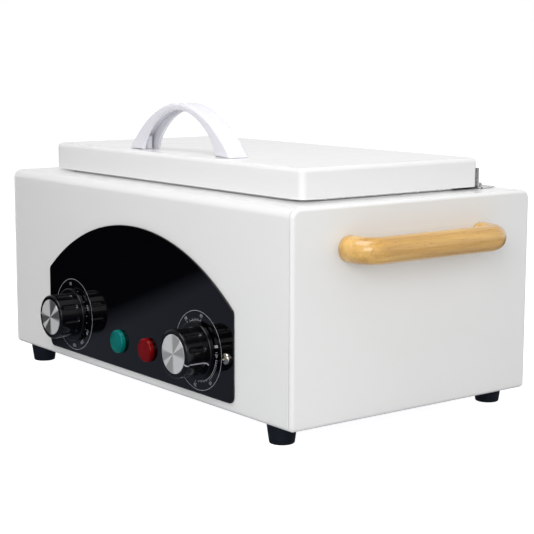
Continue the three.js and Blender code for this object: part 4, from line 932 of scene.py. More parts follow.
class STERILIZER_OT_end_panels(Operator):
    """Press the two end panels with their rolled edges"""

    bl_idname = "sterilizer.end_panels"
    bl_label = "End panels"
    bl_options = {"REGISTER", "UNDO"}

    def execute(self, context):
        sizes = context.scene.sterilizer_case
        low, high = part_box("right_end_panel")
        seam = high.x - sizes.panel_depth
        panel = add_block("right_end_panel_pressing", (seam, low.y, low.z), high)
        start_shaping(panel)
        round_edges(panel, sizes.bend_radius, 10, running("x"), at_level("z", high.z))
        round_edges(panel, sizes.fold_radius, 6, running("x"), at_level("z", low.z))
        round_edges(panel, sizes.panel_edge_radius, 6, at_level("x", high.x))
        round_edges(panel, sizes.seam_edge, 3, at_level("x", seam))
        choose(panel, "FACE", at_level("x", seam))
        inset(sizes.sheet + FIT - sizes.seam_edge)
        push(x=low.x - seam)
        inset(sizes.lip_wall)
        push(x=high.x - sizes.sheet - low.x)
        carve(panel, *holes_at(BAR_SCREWS, "x", LARGE_HOLE, high.x - sizes.sheet - OVERRUN, high.x + OVERRUN))
        left = mirrored(panel, "left_end_panel_pressing")
        settle(panel, "case", enamel(), ("right_end_panel",))
        settle(left, "case", enamel(), ("left_end_panel",))
        return {"FINISHED"}


class STERILIZER_OT_feet(Operator):
    """Mould the four feet and turn their screws"""

    bl_idname = "sterilizer.feet"
    bl_label = "Feet"
    bl_options = {"REGISTER", "UNDO"}

    def execute(self, context):
        sizes = context.scene.sterilizer_case
        low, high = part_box("front_left_foot")
        top_radius = (high.x - low.x) / 2
        base_radius, groove_radius = 7.4 * MM, 0.94 * top_radius
        groove_low, groove_high = high.z - 2.6 * MM, high.z - 2.1 * MM
        foot = add_drum("foot", "z", base_radius, 0, high.z, (0, 0), 64, top_radius)
        for level in (0, high.z):
            soften(foot, sizes.foot_edge, 4, at_level("z", level))
        recess = add_drum("recess", "z", sizes.foot_recess_radius, -OVERRUN, sizes.foot_recess_depth, (0, 0), 48)
        bore = add_drum("bore", "z", LARGE_HOLE, -OVERRUN, high.z + OVERRUN, (0, 0), 32)
        groove = add_drum("groove", "z", 2 * top_radius, groove_low, groove_high, (0, 0), 64)
        core = add_drum("core", "z", groove_radius, 0, high.z, (0, 0), 64)
        carve(foot, recess, bore, carve(groove, core))
        for node in FEET:
            twin = copy_of(foot, f"{node}_moulding")
            twin.location = spot("z", 0, across(node, "z"))
            settle(twin, "case", foot_rubber(), (node,))
        discard(foot)
        head = sizes.foot_recess_depth - SEAT
        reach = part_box("front_left_foot_screw")[1].z
        head_radius, head_height, shank_radius = 3.8 * MM, 2.4 * MM, 2 * MM
        model = cross_screw("screw", head_radius, head_height, shank_radius, reach - head, PAN)
        screws = [f"{node}_screw" for node in FEET]
        place_screws(model, screws, "z", head, Matrix.Rotation(math.pi, 4, "X"), zinc())
        return {"FINISHED"}


class STERILIZER_OT_fascia(Operator):
    """Cut the arched plate and fit its two screws"""

    bl_idname = "sterilizer.fascia"
    bl_label = "Fascia"
    bl_options = {"REGISTER", "UNDO"}

    def execute(self, context):
        sizes = context.scene.sterilizer_front
        low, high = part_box("fascia_plate")
        half, rise = high.x, sizes.fascia_rise
        arch_radius = (half**2 + rise**2) / (2 * rise)
        shoulder = high.z - rise
        plate = add_drum("fascia_face", "y", arch_radius, low.y, high.y, (0, high.z - arch_radius), 256)
        start_shaping(plate)
        slice_off(plate, (0, 0, low.z), (0, 0, -1))
        slice_off(plate, (half, 0, 0), (1, 0, 0))
        slice_off(plate, (-half, 0, 0), (-1, 0, 0))
        for side in SIDES:
            round_edges(
                plate, sizes.fascia_corner_radius, 8, running("y"), at_level("x", side * half), at_level("z", low.z)
            )
            slope = math.asin(half / arch_radius)
            run = sizes.fascia_corner_radius * math.tan((QUARTER - slope) / 2)
            round_edges(plate, run, 6, running("y"), at_level("x", side * half), at_level("z", shoulder))
        round_edges(plate, sizes.fascia_edge, 2, at_level("y", low.y))
        carve(plate, *front_holes(low.y))
        settle(plate, "case", fascia_gloss(), ("fascia_plate",))
        screw_low, screw_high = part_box("right_fascia_screw")
        radius, shank_radius = (screw_high.x - screw_low.x) / 2, 1.8 * MM
        seat, cross_turn = low.y - SEAT, math.radians(28)
        model = cross_screw("screw", radius, seat - screw_low.y, shank_radius, screw_high.y - seat, DOMED)
        turn = Matrix.Rotation(QUARTER, 4, "X") @ Matrix.Rotation(cross_turn, 4, "Z")
        place_screws(model, pair("fascia_screw"), "y", seat, turn, nickel())
        return {"FINISHED"}


class STERILIZER_OT_lamps(Operator):
    """Mould the two lamp lenses"""

    bl_idname = "sterilizer.lamps"
    bl_label = "Lamps"
    bl_options = {"REGISTER", "UNDO"}

    def execute(self, context):
        sizes = context.scene.sterilizer_front
        low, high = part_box("green_lamp_lens")
        radius, plug = (high.x - low.x) / 2, 4.2 * MM
        rim, rim_depth, rim_slope, crown_rise, crown_share = 0.35 * MM, 0.3 * MM, 0.3 * MM, 0.06 * MM, 0.72
        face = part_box("fascia_plate")[0].y - SEAT
        lens = add_drum("lens", "y", radius, face, low.y, (0, 0), 72)
        start_shaping(lens)
        round_edges(lens, sizes.lens_bevel, 5, at_level("y", low.y))
        choose(lens, "FACE", at_level("y", low.y), facing(0, -1, 0))
        inset(rim)
        push(y=rim_depth)
        inset(rim_slope)
        for _ in range(3):
            push(y=-crown_rise)
            resize((0, 0, 0), crown_share, 1, crown_share)
        choose(lens, "FACE", at_level("y", face), facing(0, 1, 0))
        inset(radius - plug)
        push(y=high.y - face)
        deselect()
        for colour_name, material in (("green", green_lens()), ("red", red_lens())):
            node = f"{colour_name}_lamp_lens"
            twin = copy_of(lens, f"{node}_moulding")
            twin.location = spot("y", 0, across(node, "y"))
            settle(twin, "case", material, (node,))
        discard(lens)
        return {"FINISHED"}


class STERILIZER_OT_knobs(Operator):
    """Mould the fluted knobs, their spun caps and their pointer lines"""

    bl_idname = "sterilizer.knobs"
    bl_label = "Knobs"
    bl_options = {"REGISTER", "UNDO"}

    def execute(self, context):
        sizes = context.scene.sterilizer_front
        low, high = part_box("timer_knob")
        knob = self.grip(sizes, low.y, high.y)
        cap = self.cap()
        line = self.pointer(sizes, low.y, high.y)
        for word in ("temperature", "timer"):
            turn = getattr(sizes, f"{word}_pointer")
            matrix = turned_at(spot("y", 0, across(f"{word}_knob", "y")), turn)
            parts = (
                (knob, f"{word}_knob_moulding", "knob_black", knob_plastic(), (f"{word}_knob",)),
                (cap, f"{word}_knob_disc", "spun_aluminium", spun_aluminium(), (f"{word}_knob_cap",)),
                (line, f"{word}_pointer_line", None, figure_ink(), ()),
            )
            for model, name, slot, material, nodes in parts:
                twin = copy_of(model, name)
                twin.matrix_world = matrix
                settle(twin, f"{word}_dial", material, nodes, smooth=30)
        discard(knob, cap, line)
        return {"FINISHED"}

    def scoop(self, sizes, start, end):
        """A round-ended cutter for the flute that is straight up."""
        radius, run = sizes.flute_radius, self.run(sizes)
        deselect()
        bpy.ops.mesh.primitive_uv_sphere_add(
            segments=48, ring_count=24, radius=radius, rotation=(QUARTER, 0, 0),
            location=(0, start + run, sizes.knob_radius - sizes.flute_depth + radius),
        )
        cutter = named("scoop")
        apply_place(cutter)
        start_shaping(cutter)
        choose(cutter, "FACE", beyond("y", start + run))
        push(y=end - start - 2 * run)
        deselect()
        return cutter

    def run(self, sizes):
        """How far a scooped end takes to reach a flute's full depth."""
        return math.sqrt(sizes.flute_radius**2 - (sizes.flute_radius - sizes.flute_depth) ** 2)

    def grip(self, sizes, front, back):
        """A knob round the Y axis, with the middle of a flute straight up."""
        grip = add_drum("grip", "y", sizes.knob_radius, front, back - sizes.skirt_thickness / 2, (0, 0), 180)
        soften(grip, sizes.knob_edge, 6, at_level("y", front))
        start, end = front + sizes.flute_start, back - sizes.skirt_thickness - sizes.flute_end
        scoop = self.scoop(sizes, start, end)
        for i in range(sizes.flutes):
            cutter = copy_of(scoop, "cutter")
            cutter.rotation_euler.y = 2 * math.pi * i / sizes.flutes
            apply_place(cutter)
            carve(grip, cutter)
        discard(scoop)
        skirt = add_drum("skirt", "y", sizes.skirt_radius, back - sizes.skirt_thickness, back, (0, 0), 120)
        soften(skirt, sizes.skirt_edge, 3, at_level("y", back - sizes.skirt_thickness))
        fuse(grip, skirt)
        cap_low, cap_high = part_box("timer_knob_cap")
        recess_radius = (cap_high.x - cap_low.x) / 2 + FIT
        recess = add_drum("recess", "y", recess_radius, front - OVERRUN, cap_high.y + SEAT, (0, 0), 96)
        bore_radius, bore_depth = 3.3 * MM, 12 * MM
        bore = add_drum("bore", "y", bore_radius, back - bore_depth, back + OVERRUN, (0, 0), 40)
        return carve(grip, recess, bore)

    def cap(self):
        low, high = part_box("timer_knob_cap")
        edge = 0.25 * MM
        cap = add_drum("cap", "y", (high.x - low.x) / 2, low.y, high.y, (0, 0), 96)
        soften(cap, edge, 3, at_level("y", low.y))
        return cap

    def pointer(self, sizes, front, back):
        """A painted line from the cap over the rim, along the bottom of a flute and across the skirt."""
        proud, radius, rim = sizes.print_height, sizes.flute_radius, sizes.knob_edge
        start, skirt_face, steps = 12.25 * MM, back - sizes.skirt_thickness, 5
        edge, stop = sizes.knob_radius - rim, sizes.skirt_radius - 0.9 * MM
        place = (0, front - proud, (start + edge) / 2)
        line = add_sheet("pointer", place, (QUARTER, 0, 0), sizes.pointer_width, edge - start)
        path = []
        for turn in (math.radians(90 * step / steps) for step in range(1, steps + 1)):
            path.append((edge + (rim + proud) * math.sin(turn), front + rim - (rim + proud) * math.cos(turn)))
        reach, run = sizes.knob_radius - sizes.flute_depth + radius, self.run(sizes)
        scoop = []
        for step in range(steps + 1):
            left = run * (1 - step / steps)
            scoop.append((reach - math.sqrt(radius**2 - left**2) + proud, run - left))
        flute_start, flute_end = front + sizes.flute_start, skirt_face - sizes.flute_end
        path += [(out, flute_start + along) for out, along in scoop]
        path += [(out, flute_end - along) for out, along in reversed(scoop)]
        path += [(sizes.knob_radius + proud, skirt_face - proud), (stop, skirt_face - proud)]
        start_shaping(line)
        here = (edge, front - proud)
        for outward, along in path:
            choose(line, "EDGE", running("x"), at_level("z", here[0]), at_level("y", here[1]))
            push(y=along - here[1], z=outward - here[0])
            here = (outward, along)
        choose_all()
        bpy.ops.mesh.normals_make_consistent(inside=False)
        deselect()
        modify(line, "SOLIDIFY", thickness=1.5 * proud, offset=0)
        return line


def polar(centre, turn, radius):
    return Vector((centre.x + radius * math.sin(turn), 0, centre.z + radius * math.cos(turn)))


class STERILIZER_OT_scales(Operator):
    """Print the two scales on the fascia"""

    bl_idname = "sterilizer.scales"
    bl_label = "Printed scales"
    bl_options = {"REGISTER", "UNDO"}

    def execute(self, context):
        self.sizes = context.scene.sterilizer_front
        self.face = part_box("fascia_plate")[0].y
        self.front = self.face - self.sizes.print_height
        self.temperature_scale(middle("temperature_knob"))
        self.timer_scale(middle("timer_knob"))
        return {"FINISHED"}

    def temperature_scale(self, centre):
        marks = [self.ring(centre, self.sizes.scale_ring_radius)]
        figures = (("0", 282, 21), ("50", 348.7, 20.9), ("100", 68.6, 19.6), ("150", 119, 20.1), ("200", 149.8, 20.5),
                   ("250", 179.5, 21.4))
        for figure, degrees, radius in figures:
            marks.append(self.figure(centre, figure, math.radians(degrees), radius * MM))
        first_dot, dot_pitch, dot_circle = 347.3, 16.35, 17.2 * MM
        tick_start, tick_end = 16.3 * MM, 17.9 * MM
        for i in (-1, 0, 1, 2, 3, 4, 6, 7, 9):
            marks.append(self.dot(centre, math.radians(first_dot + dot_pitch * i), dot_circle))
        for degrees in (68.6, 118):
            marks.append(self.tick(centre, math.radians(degrees), tick_start, tick_end))
        self.print_marks("temperature_scale_print", marks)

    def timer_scale(self, centre):
        zero, per_minute = 98.8, 4.5
        arc_radius, figure_circle = 18.6 * MM, 21.8 * MM
        long_start, long_end, fine_end, coarse_end = 18.2 * MM, 20.2 * MM, 20.4 * MM, 19.7 * MM
        marks = [self.ring(centre, self.sizes.scale_ring_radius)]
        marks.append(self.arc(centre, arc_radius, zero, zero + 60 * per_minute))
        for minute in (10, 20, 30, 40, 50, 60):
            turn = math.radians(zero + minute * per_minute)
            marks.append(self.figure(centre, str(minute), turn, figure_circle))
            marks.append(self.tick(centre, turn, long_start, long_end))
        coarse = [minute for minute in range(12, 60, 2) if minute % 10]
        for minute in [*range(10), *coarse]:
            turn = math.radians(zero + minute * per_minute)
            marks.append(self.tick(centre, turn, arc_radius, fine_end if minute < 10 else coarse_end))
        # The marks before zero: an arrow, a line and a block
        marks.append(self.arrow(centre, math.radians(90.5), 19.1 * MM))
        marks.append(self.tick(centre, math.radians(84.5), 18.4 * MM, 20.0 * MM))
        marks.append(self.tick(centre, math.radians(74), 17.9 * MM, 21.4 * MM, 1.7 * MM))
        self.print_marks("timer_scale_print", marks)

    def print_marks(self, name, marks):
        made = join(name, *marks)
        start_shaping(made)
        face_outwards(0.0005 * MM)
        deselect()
        settle(made, "case", figure_ink())

    def ring(self, centre, radius):
        half, place = self.sizes.scale_line / 2, (centre.x, centre.z)
        outer = add_drum("ring", "y", radius + half, self.front, self.face, place, 128)
        inner = add_drum("hole", "y", radius - half, self.front - OVERRUN, self.face + OVERRUN, place, 128)
        return carve(outer, inner)

    def arc(self, centre, radius, start, end):
        """Part of a ring, from one clock angle to another that is less than a turn ahead."""
        ring = self.ring(centre, radius)
        start_shaping(ring)
        gap_start, gap_end = math.radians(end - 360), math.radians(start)
        middle_turn = (gap_start + gap_end) / 2
        limit = math.cos((gap_end - gap_start) / 2)
        away = Vector((math.sin(middle_turn), 0, math.cos(middle_turn)))

        def within_gap(face):
            out = face.calc_center_median() - Vector((centre.x, 0, centre.z))
            out.y = 0
            return out.normalized().dot(away) > limit

        for turn in (gap_start, gap_end):
            choose_all()
            normal = (math.cos(turn), 0, -math.sin(turn))
            bpy.ops.mesh.bisect(plane_co=centre, plane_no=normal)
        drop_faces(ring, within_gap)
        choose_all()
        bpy.ops.mesh.fill_holes(sides=8)
        deselect()
        return ring

    def tick(self, centre, turn, inner, outer, width=None):
        half = (width or self.sizes.scale_line) / 2
        tick = add_block("tick", (-half, self.front, inner), (half, self.face, outer))
        tick.matrix_world = turned_at((centre.x, 0, centre.z), turn)
        apply_place(tick)
        return tick

    def dot(self, centre, turn, radius):
        place, dot_radius = polar(centre, turn, radius), 0.45 * MM
        return add_drum("dot", "y", dot_radius, self.front, self.face, (place.x, place.z), 16)

    def arrow(self, centre, turn, radius):
        """A small plain outlined triangle that points along the scale."""
        outer_reach, inner_reach = 1.5 * MM, 0.85 * MM
        outer = add_drum("arrow", "y", outer_reach, self.front, self.face, (0, 0), 3)
        carve(outer, add_drum("hole", "y", inner_reach, self.front - OVERRUN, self.face + OVERRUN, (0, 0), 3))
        outer.matrix_world = turned_at(polar(centre, turn, radius), turn + QUARTER)
        apply_place(outer)
        return outer

    def figure(self, centre, text, turn, radius):
        deselect()
        bpy.ops.object.text_add()
        lettering = named("figure_" + text)
        lettering.data.body = text
        lettering.data.size = self.sizes.figure_height
        lettering.data.align_x = "CENTER"
        lettering.data.align_y = "CENTER"
        lettering.data.resolution_u = 3
        lettering.data.extrude = self.sizes.print_height / 2
        place = polar(centre, turn, radius) + Vector((0, self.face - self.sizes.print_height / 2, 0))
        lettering.matrix_world = turned_at(place, turn) @ Matrix.Rotation(QUARTER, 4, "X")
        pick_only(lettering)
        bpy.ops.object.convert(target="MESH")
        made = bpy.context.active_object
        apply_place(made)
        return made


class STERILIZER_OT_chamber(Operator):
    """Draw the tank and the lift-out tray"""

    bl_idname = "sterilizer.chamber"
    bl_label = "Chamber and tray"
    bl_options = {"REGISTER", "UNDO"}

    def execute(self, context):
        sizes = context.scene.sterilizer_chamber
        self.tank(sizes)
        self.tray(sizes)
        return {"FINISHED"}

    def tank(self, sizes):
        low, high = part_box("tank")
        wall = sizes.tank_wall
        tank = add_slab(
            "tank_drawing", "z", (low.x, low.y, high.z - wall), high, sizes.tank_corner_radius + sizes.tank_flange, 12
        )
        choose(tank, "FACE", at_level("z", high.z))
        inset(sizes.tank_flange + wall)
        push(z=low.z + wall - high.z)
        round_edges(tank, sizes.tank_edge_radius - wall, 6, at_level("z", low.z + wall))
        drop_faces(tank, at_level("z", high.z - wall))
        drop_faces(tank, self.on_rim(low, high))
        deselect()
        modify(tank, "SOLIDIFY", thickness=wall, offset=-1, use_even_offset=True)
        settle(tank, "case", stainless(), ("tank",))

    def on_rim(self, low, high):
        """Finds the outer rim of the blank that the tank is drawn from."""
        rim_height = 0.6 * MM

        def test(face):
            level = face.calc_center_median().z
            return abs(face.normal.z) < UPRIGHT and level > max(low.z, high.z - rim_height)

        return test

    def tray(self, sizes):
        low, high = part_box("instrument_tray")
        wall = sizes.tank_wall
        tray = drawn_pan("tray_drawing", low, high, sizes.tray_corner_radius, sizes.tray_edge_radius, wall, -1)
        centre = (low + high) / 2
        slots = []
        rows, columns = 4, 6
        end_margin, side_margin = 13 * MM, 12 * MM
        pitch = (high.x - low.x - 2 * end_margin) / columns
        row_pitch = (high.y - low.y - 2 * side_margin) / rows
        half_length, half_width = sizes.slot_length / 2, sizes.slot_width / 2
        for row in range(rows):
            for column in range(columns):
                x = centre.x + (column - (columns - 1) / 2) * pitch
                y = centre.y + (row - (rows - 1) / 2) * row_pitch
                start = (x - half_length, y - half_width, low.z - OVERRUN)
                end = (x + half_length, y + half_width, low.z + wall + OVERRUN)
                slots.append(add_slab("slot", "z", start, end, half_width - CLOSE, 5))
        deselect()
        carve(tray, join("slots", *slots))
        level, half_grip, half_height = centre.z + wall, 15 * MM, 3.5 * MM
        start = (low.x - OVERRUN, centre.y - half_grip, level - half_height)
        end = (high.x + OVERRUN, centre.y + half_grip, level + half_height)
        carve(tray, add_slab("grips", "x", start, end, half_height - CLOSE, 6))
        settle(tray, "tray", stainless(), ("instrument_tray",))


def drawn_pan(name, low, high, corner_radius, edge_radius, wall, way):
    """A pan with one wall thickness, closed at the bottom for way -1 or at the top for way 1."""
    closed, open_level = (high.z, low.z) if way > 0 else (low.z, high.z)
    pan = add_slab(name, "z", low, high, corner_radius, 8)
    round_edges(pan, edge_radius, 6, at_level("z", closed))
    drop_faces(pan, at_level("z", open_level))
    deselect()
    modify(pan, "SOLIDIFY", thickness=wall, offset=-1, use_even_offset=True)
    return pan


class STERILIZER_OT_lid(Operator):
    """Press the lid's outer shell and its inner pan"""

    bl_idname = "sterilizer.lid"
    bl_label = "Lid"
    bl_options = {"REGISTER", "UNDO"}

    def execute(self, context):
        sizes = context.scene.sterilizer_lid
        sheet = context.scene.sterilizer_case.sheet
        low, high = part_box("lid_shell")
        shell = drawn_pan("lid_shell_pressing", low, high, sizes.corner_radius, sizes.edge_radius, sheet, 1)
        start, end = high.z - sheet - OVERRUN, high.z + OVERRUN
        carve(shell, *holes_at(pair("lid_handle_screw"), "z", SMALL_HOLE, start, end))
        settle(shell, "lid", enamel(), ("lid_shell",))
        low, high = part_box("lid_inner_pan")
        pan = drawn_pan(
            "lid_inner_pan_drawing", low, high, sizes.pan_corner_radius, sizes.pan_edge_radius, sizes.pan_wall, -1
        )
        settle(pan, "lid", stainless(), ("lid_inner_pan",))
        return {"FINISHED"}


class STERILIZER_OT_lid_handle(Operator):
    """Mould the arched lid handle with its hollow underside"""

    bl_idname = "sterilizer.lid_handle"
    bl_label = "Lid handle"
    bl_options = {"REGISTER", "UNDO"}

    def execute(self, context):
        sizes = context.scene.sterilizer_lid
        low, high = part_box("lid_handle")
        arches = (
            (high.x, high.z - low.z, sizes.grip_power),
            (sizes.grip_inner_half_span, sizes.grip_inner_height, sizes.grip_inner_power),
        )
        bow = join("lid_handle_moulding", *(self.arch(*shape, low.y, low.z) for shape in arches))
        start_shaping(bow)
        bpy.ops.mesh.select_mode(type="EDGE")
        choose_all()
        bpy.ops.mesh.bridge_edge_loops()
        choose_all()
        push(y=high.y - low.y)
        face_outwards()
        outer, inner = (self.on_arch(*shape, low.z) for shape in arches)
        for level in (low.y, high.y):
            round_edges(bow, sizes.grip_edge, 6, at_level("y", level), outer)
            round_edges(bow, sizes.grip_edge / 3, 2, at_level("y", level), inner)
        deselect()
        self.hollow(bow, sizes, low, high)
        settle(bow, "lid", grip_plastic(), ("lid_handle",))
        return {"FINISHED"}

    def arch(self, half_span, height, power, level, base, overrun=0):
        """A chain of edges from right to left. A power of 0.5 gives half an ellipse, and 1 a parabola."""
        points = []
        for step in range(ARCH_STEPS + 1):
            turn = math.pi * step / ARCH_STEPS
            rise = height * abs(math.sin(turn)) ** (2 * power)
            points.append(Vector((half_span * math.cos(turn), level, base + rise)))
        if overrun:
            below = Vector((0, 0, overrun))
            points = [points[0] - below, *points, points[-1] - below]
        deselect()
        bpy.ops.mesh.primitive_plane_add(size=MM, location=points[0])
        chain = named("arch")
        apply_place(chain)
        start_shaping(chain)
        bpy.ops.mesh.select_mode(type="VERT")
        choose_all()
        bpy.ops.mesh.merge(type="CENTER")
        for last, point in zip(points, points[1:]):
            push(*(point - last))
        deselect()
        return chain

    def on_arch(self, half_span, height, power, base):
        def off(point):
            rise = max(1 - (point.x / half_span) ** 2, 0) ** power
            return abs((point.z - base) / height - rise)

        return lambda edge: all(off(point) < ON_ARCH for point in corners(edge))

    def hollow(self, bow, sizes, low, high):
        start, end = low.y + sizes.grip_cheek, high.y - sizes.grip_cheek
        skin, post_radius = sizes.grip_skin, 3.4 * MM
        channel = self.arch(high.x - skin, high.z - low.z - skin, sizes.grip_power, start, low.z, OVERRUN)
        start_shaping(channel)
        choose_all()
        bpy.ops.mesh.edge_face_add()
        push(y=end - start)
        face_outwards()
        holes = []
        for node in pair("lid_handle_screw"):
            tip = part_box(node)[1].z + FIT
            carve(channel, add_drum("post", "z", post_radius, low.z - OVERRUN, tip + skin, across(node, "z"), 32))
            holes += holes_at([node], "z", SMALL_HOLE, low.z - OVERRUN, tip)
        carve(bow, channel, *holes)


class STERILIZER_OT_hinge(Operator):
    """Roll the continuous hinge behind the lid"""

    bl_idname = "sterilizer.hinge"
    bl_label = "Hinge"
    bl_options = {"REGISTER", "UNDO"}
    WELD_SHARE = 0.62  # where the spot welds lie, as a share of the way from the pin to a leaf's edge

    def execute(self, context):
        sizes = context.scene.sterilizer_lid
        pin_low, pin_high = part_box("hinge_pin")
        pin_centre = (pin_low + pin_high) / 2
        axis = (pin_centre.y, pin_centre.z)
        pin_radius, pin_edge, leaf = 0.8 * MM, 0.25 * MM, 0.8 * MM
        pin = add_drum("hinge_pin_rod", "x", pin_radius, pin_low.x, pin_high.x, axis, 32)
        soften(pin, pin_edge, 2, lambda edge: abs(abs(edge.verts[0].co.x) - pin_high.x) < CLOSE)
        settle(pin, "case", stainless(), ("hinge_pin",))
        low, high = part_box("hinge_lid_leaf")
        plate = add_block("hinge_lid_leaf_strip", (low.x, low.y, axis[1]), (high.x, low.y + leaf, high.z))
        self.dimple(plate, "y", low.y + leaf, axis[1] + self.WELD_SHARE * (high.z - axis[1]), high.x)
        self.roll(plate, sizes, pin_low.x, axis, 0)
        settle(plate, "lid", stainless(), ("hinge_lid_leaf",))
        low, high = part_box("hinge_case_leaf")
        plate = add_block("hinge_case_leaf_strip", (low.x, axis[0], low.z), (high.x, high.y, low.z + leaf))
        self.dimple(plate, "z", low.z + leaf, axis[0] + self.WELD_SHARE * (high.y - axis[0]), high.x)
        self.roll(plate, sizes, pin_low.x, axis, 1)
        settle(plate, "case", stainless(), ("hinge_case_leaf",))
        return {"FINISHED"}

    def dimple(self, plate, axis, face, place, half_length):
        """Spot-weld marks along a leaf."""
        marks = []
        welds, radius, depth = 8, 1.5 * MM, 0.15 * MM
        for i in range(welds):
            x = half_length * (2 * (i + 0.5) / welds - 1)
            marks.append(add_drum("mark", axis, radius, face - depth, face + OVERRUN, (x, place), 20))
        carve(plate, join("marks", *marks))

    def roll(self, plate, sizes, start, axis, first):
        pitch = -2 * start / sizes.knuckles
        gap, room, bore_radius = SEAT, sizes.knuckle_radius + 0.4 * MM, 1.05 * MM
        own, others = [], []
        for i in range(sizes.knuckles):
            left, right = start + i * pitch + gap, start + (i + 1) * pitch - gap
            if i % 2 == first:
                own.append(add_drum("knuckle", "x", sizes.knuckle_radius, left, right, axis, 32))
            else:
                near = (left - 2 * gap, axis[0] - room, axis[1] - room)
                far = (right + 2 * gap, axis[0] + room, axis[1] + room)
                others.append(add_block("notch", near, far))
        fuse(plate, join("knuckles", *own))
        bore = add_drum("bore", "x", bore_radius, start - OVERRUN, OVERRUN - start, axis, 32)
        carve(plate, join("notches", *others), bore)


class STERILIZER_OT_side_handles(Operator):
    """Turn the two round wooden carrying handles"""

    bl_idname = "sterilizer.side_handles"
    bl_label = "Side handles"
    bl_options = {"REGISTER", "UNDO"}

    def execute(self, context):
        sizes = context.scene.sterilizer_bars
        low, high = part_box("right_side_handle")
        posts = [middle(node).y for node in BAR_SCREWS]
        level = middle("right_side_handle").z
        bend = sizes.bend_radius
        turn_x = high.x - sizes.radius - bend
        bar = add_drum("right_side_handle_bar", "x", sizes.radius, low.x, turn_x, (posts[0], level), 56)
        start_shaping(bar)
        choose(bar, "FACE", at_level("x", turn_x))
        self.bend((turn_x, posts[0] + bend, level))
        choose(bar, "FACE", at_level("y", posts[0] + bend), facing(0, 1, 0))
        push(y=posts[1] - posts[0] - 2 * bend)
        choose(bar, "FACE", at_level("y", posts[1] - bend), facing(0, 1, 0))
        self.bend((turn_x, posts[1] - bend, level))
        choose(bar, "FACE", at_level("x", turn_x), facing(-1, 0, 0))
        push(x=low.x - turn_x)
        face_outwards()
        foot_edge, hole_depth = 0.5 * MM, 11.1 * MM
        round_edges(bar, foot_edge, 3, at_level("x", low.x))
        carve(bar, *holes_at(BAR_SCREWS, "x", LARGE_HOLE, low.x - OVERRUN, low.x + hole_depth))
        left = mirrored(bar, "left_side_handle_bar")
        settle(bar, "case", beech(), ("right_side_handle",))
        settle(left, "case", beech(), ("left_side_handle",))
        return {"FINISHED"}

    def bend(self, centre):
        bpy.ops.mesh.spin(steps=14, angle=-QUARTER, center=centre, axis=(0, 0, 1))


class STERILIZER_OT_inlet(Operator):
    """Mould the mains inlet and fit its pins and screws"""

    bl_idname = "sterilizer.inlet"
    bl_label = "Mains inlet"
    bl_options = {"REGISTER", "UNDO"}

    def execute(self, context):
        low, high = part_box("power_inlet")
        centre = (low + high) / 2
        self.centre = Vector((centre.x, high.y, centre.z))
        flange, flange_corner, flange_edge, mouth_edge = 2.2 * MM, 4 * MM, 0.6 * MM, 0.35 * MM
        rear, floor, hole_depth = high.y - 22.4 * MM, high.y - 17 * MM, 4 * MM
        housing = add_slab("power_inlet_housing", "y", (low.x, high.y - flange, low.z), high, flange_corner, 8)
        round_edges(housing, flange_edge, 3, at_level("y", high.y))
        deselect()
        fuse(housing, self.slab("body", 13.5, 9.7, rear, high.y - OVERRUN, 3))
        carve(housing, self.slab("recess", 11.9, 8.1, floor, high.y + OVERRUN, 1.4))
        soften(housing, mouth_edge, 2, at_level("y", high.y), self.round_mouth)
        carve(housing, *holes_at(pair("inlet_screw"), "y", SMALL_HOLE, high.y - hole_depth, high.y + OVERRUN))
        settle(housing, "case", lamp_plastic(), ("power_inlet",))
        self.pins(rear, low.y, floor)
        self.screws(high.y)
        return {"FINISHED"}

    def slab(self, name, half_width, half_height, start, end, radius):
        """A rounded block round the inlet's middle. Its widths and radius are in millimetres."""
        low, high = self.at(-half_width, start, -half_height), self.at(half_width, end, half_height)
        return add_slab(name, "y", low, high, radius * MM)

    def at(self, x, y, z):
        """The point at a level along Y whose X and Z are given in millimetres from the inlet's middle."""
        return (self.centre.x + x * MM, y, self.centre.z + z * MM)

    def round_mouth(self, edge):
        half_width, half_height = 12.5 * MM, 8.5 * MM
        return all(
            abs(point.x - self.centre.x) < half_width and abs(point.z - self.centre.z) < half_height
            for point in corners(edge)
        )

    def pins(self, rear, tab_end, floor):
        """Three pins inside the mouth and three terminal tabs behind, by their middles in millimetres."""
        blades = []
        pin_tip, pin_edge, tab_edge = floor + 10.5 * MM, 0.5 * MM, 0.8 * MM
        for x, z in ((-7, 0), (7, 0), (0, -4)):
            blades.append(add_block("pin", self.at(x - 1, floor - OVERRUN, z - 2), self.at(x + 1, pin_tip, z + 2)))
            soften(blades[-1], pin_edge, 3, at_level("y", pin_tip))
        for x, z in ((-7, 0), (7, 0), (0, -6)):
            low, high = self.at(x - 0.4, tab_end, z - 2.4), self.at(x + 0.4, rear + OVERRUN, z + 2.4)
            blades.append(add_block("tab", low, high))
            soften(blades[-1], tab_edge, 2, running("x"), at_level("y", tab_end))
        settle(join("power_inlet_pins", *blades), "case", nickel())

    def screws(self, face):
        low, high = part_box("left_inlet_screw")
        radius, shank_radius, seat = (high.x - low.x) / 2, 1.5 * MM, face + SEAT
        model = cross_screw("screw", radius, high.y - seat, shank_radius, seat - low.y, PAN)
        turn = Matrix.Rotation(-QUARTER, 4, "X")
        place_screws(model, pair("inlet_screw"), "y", seat, turn, zinc())


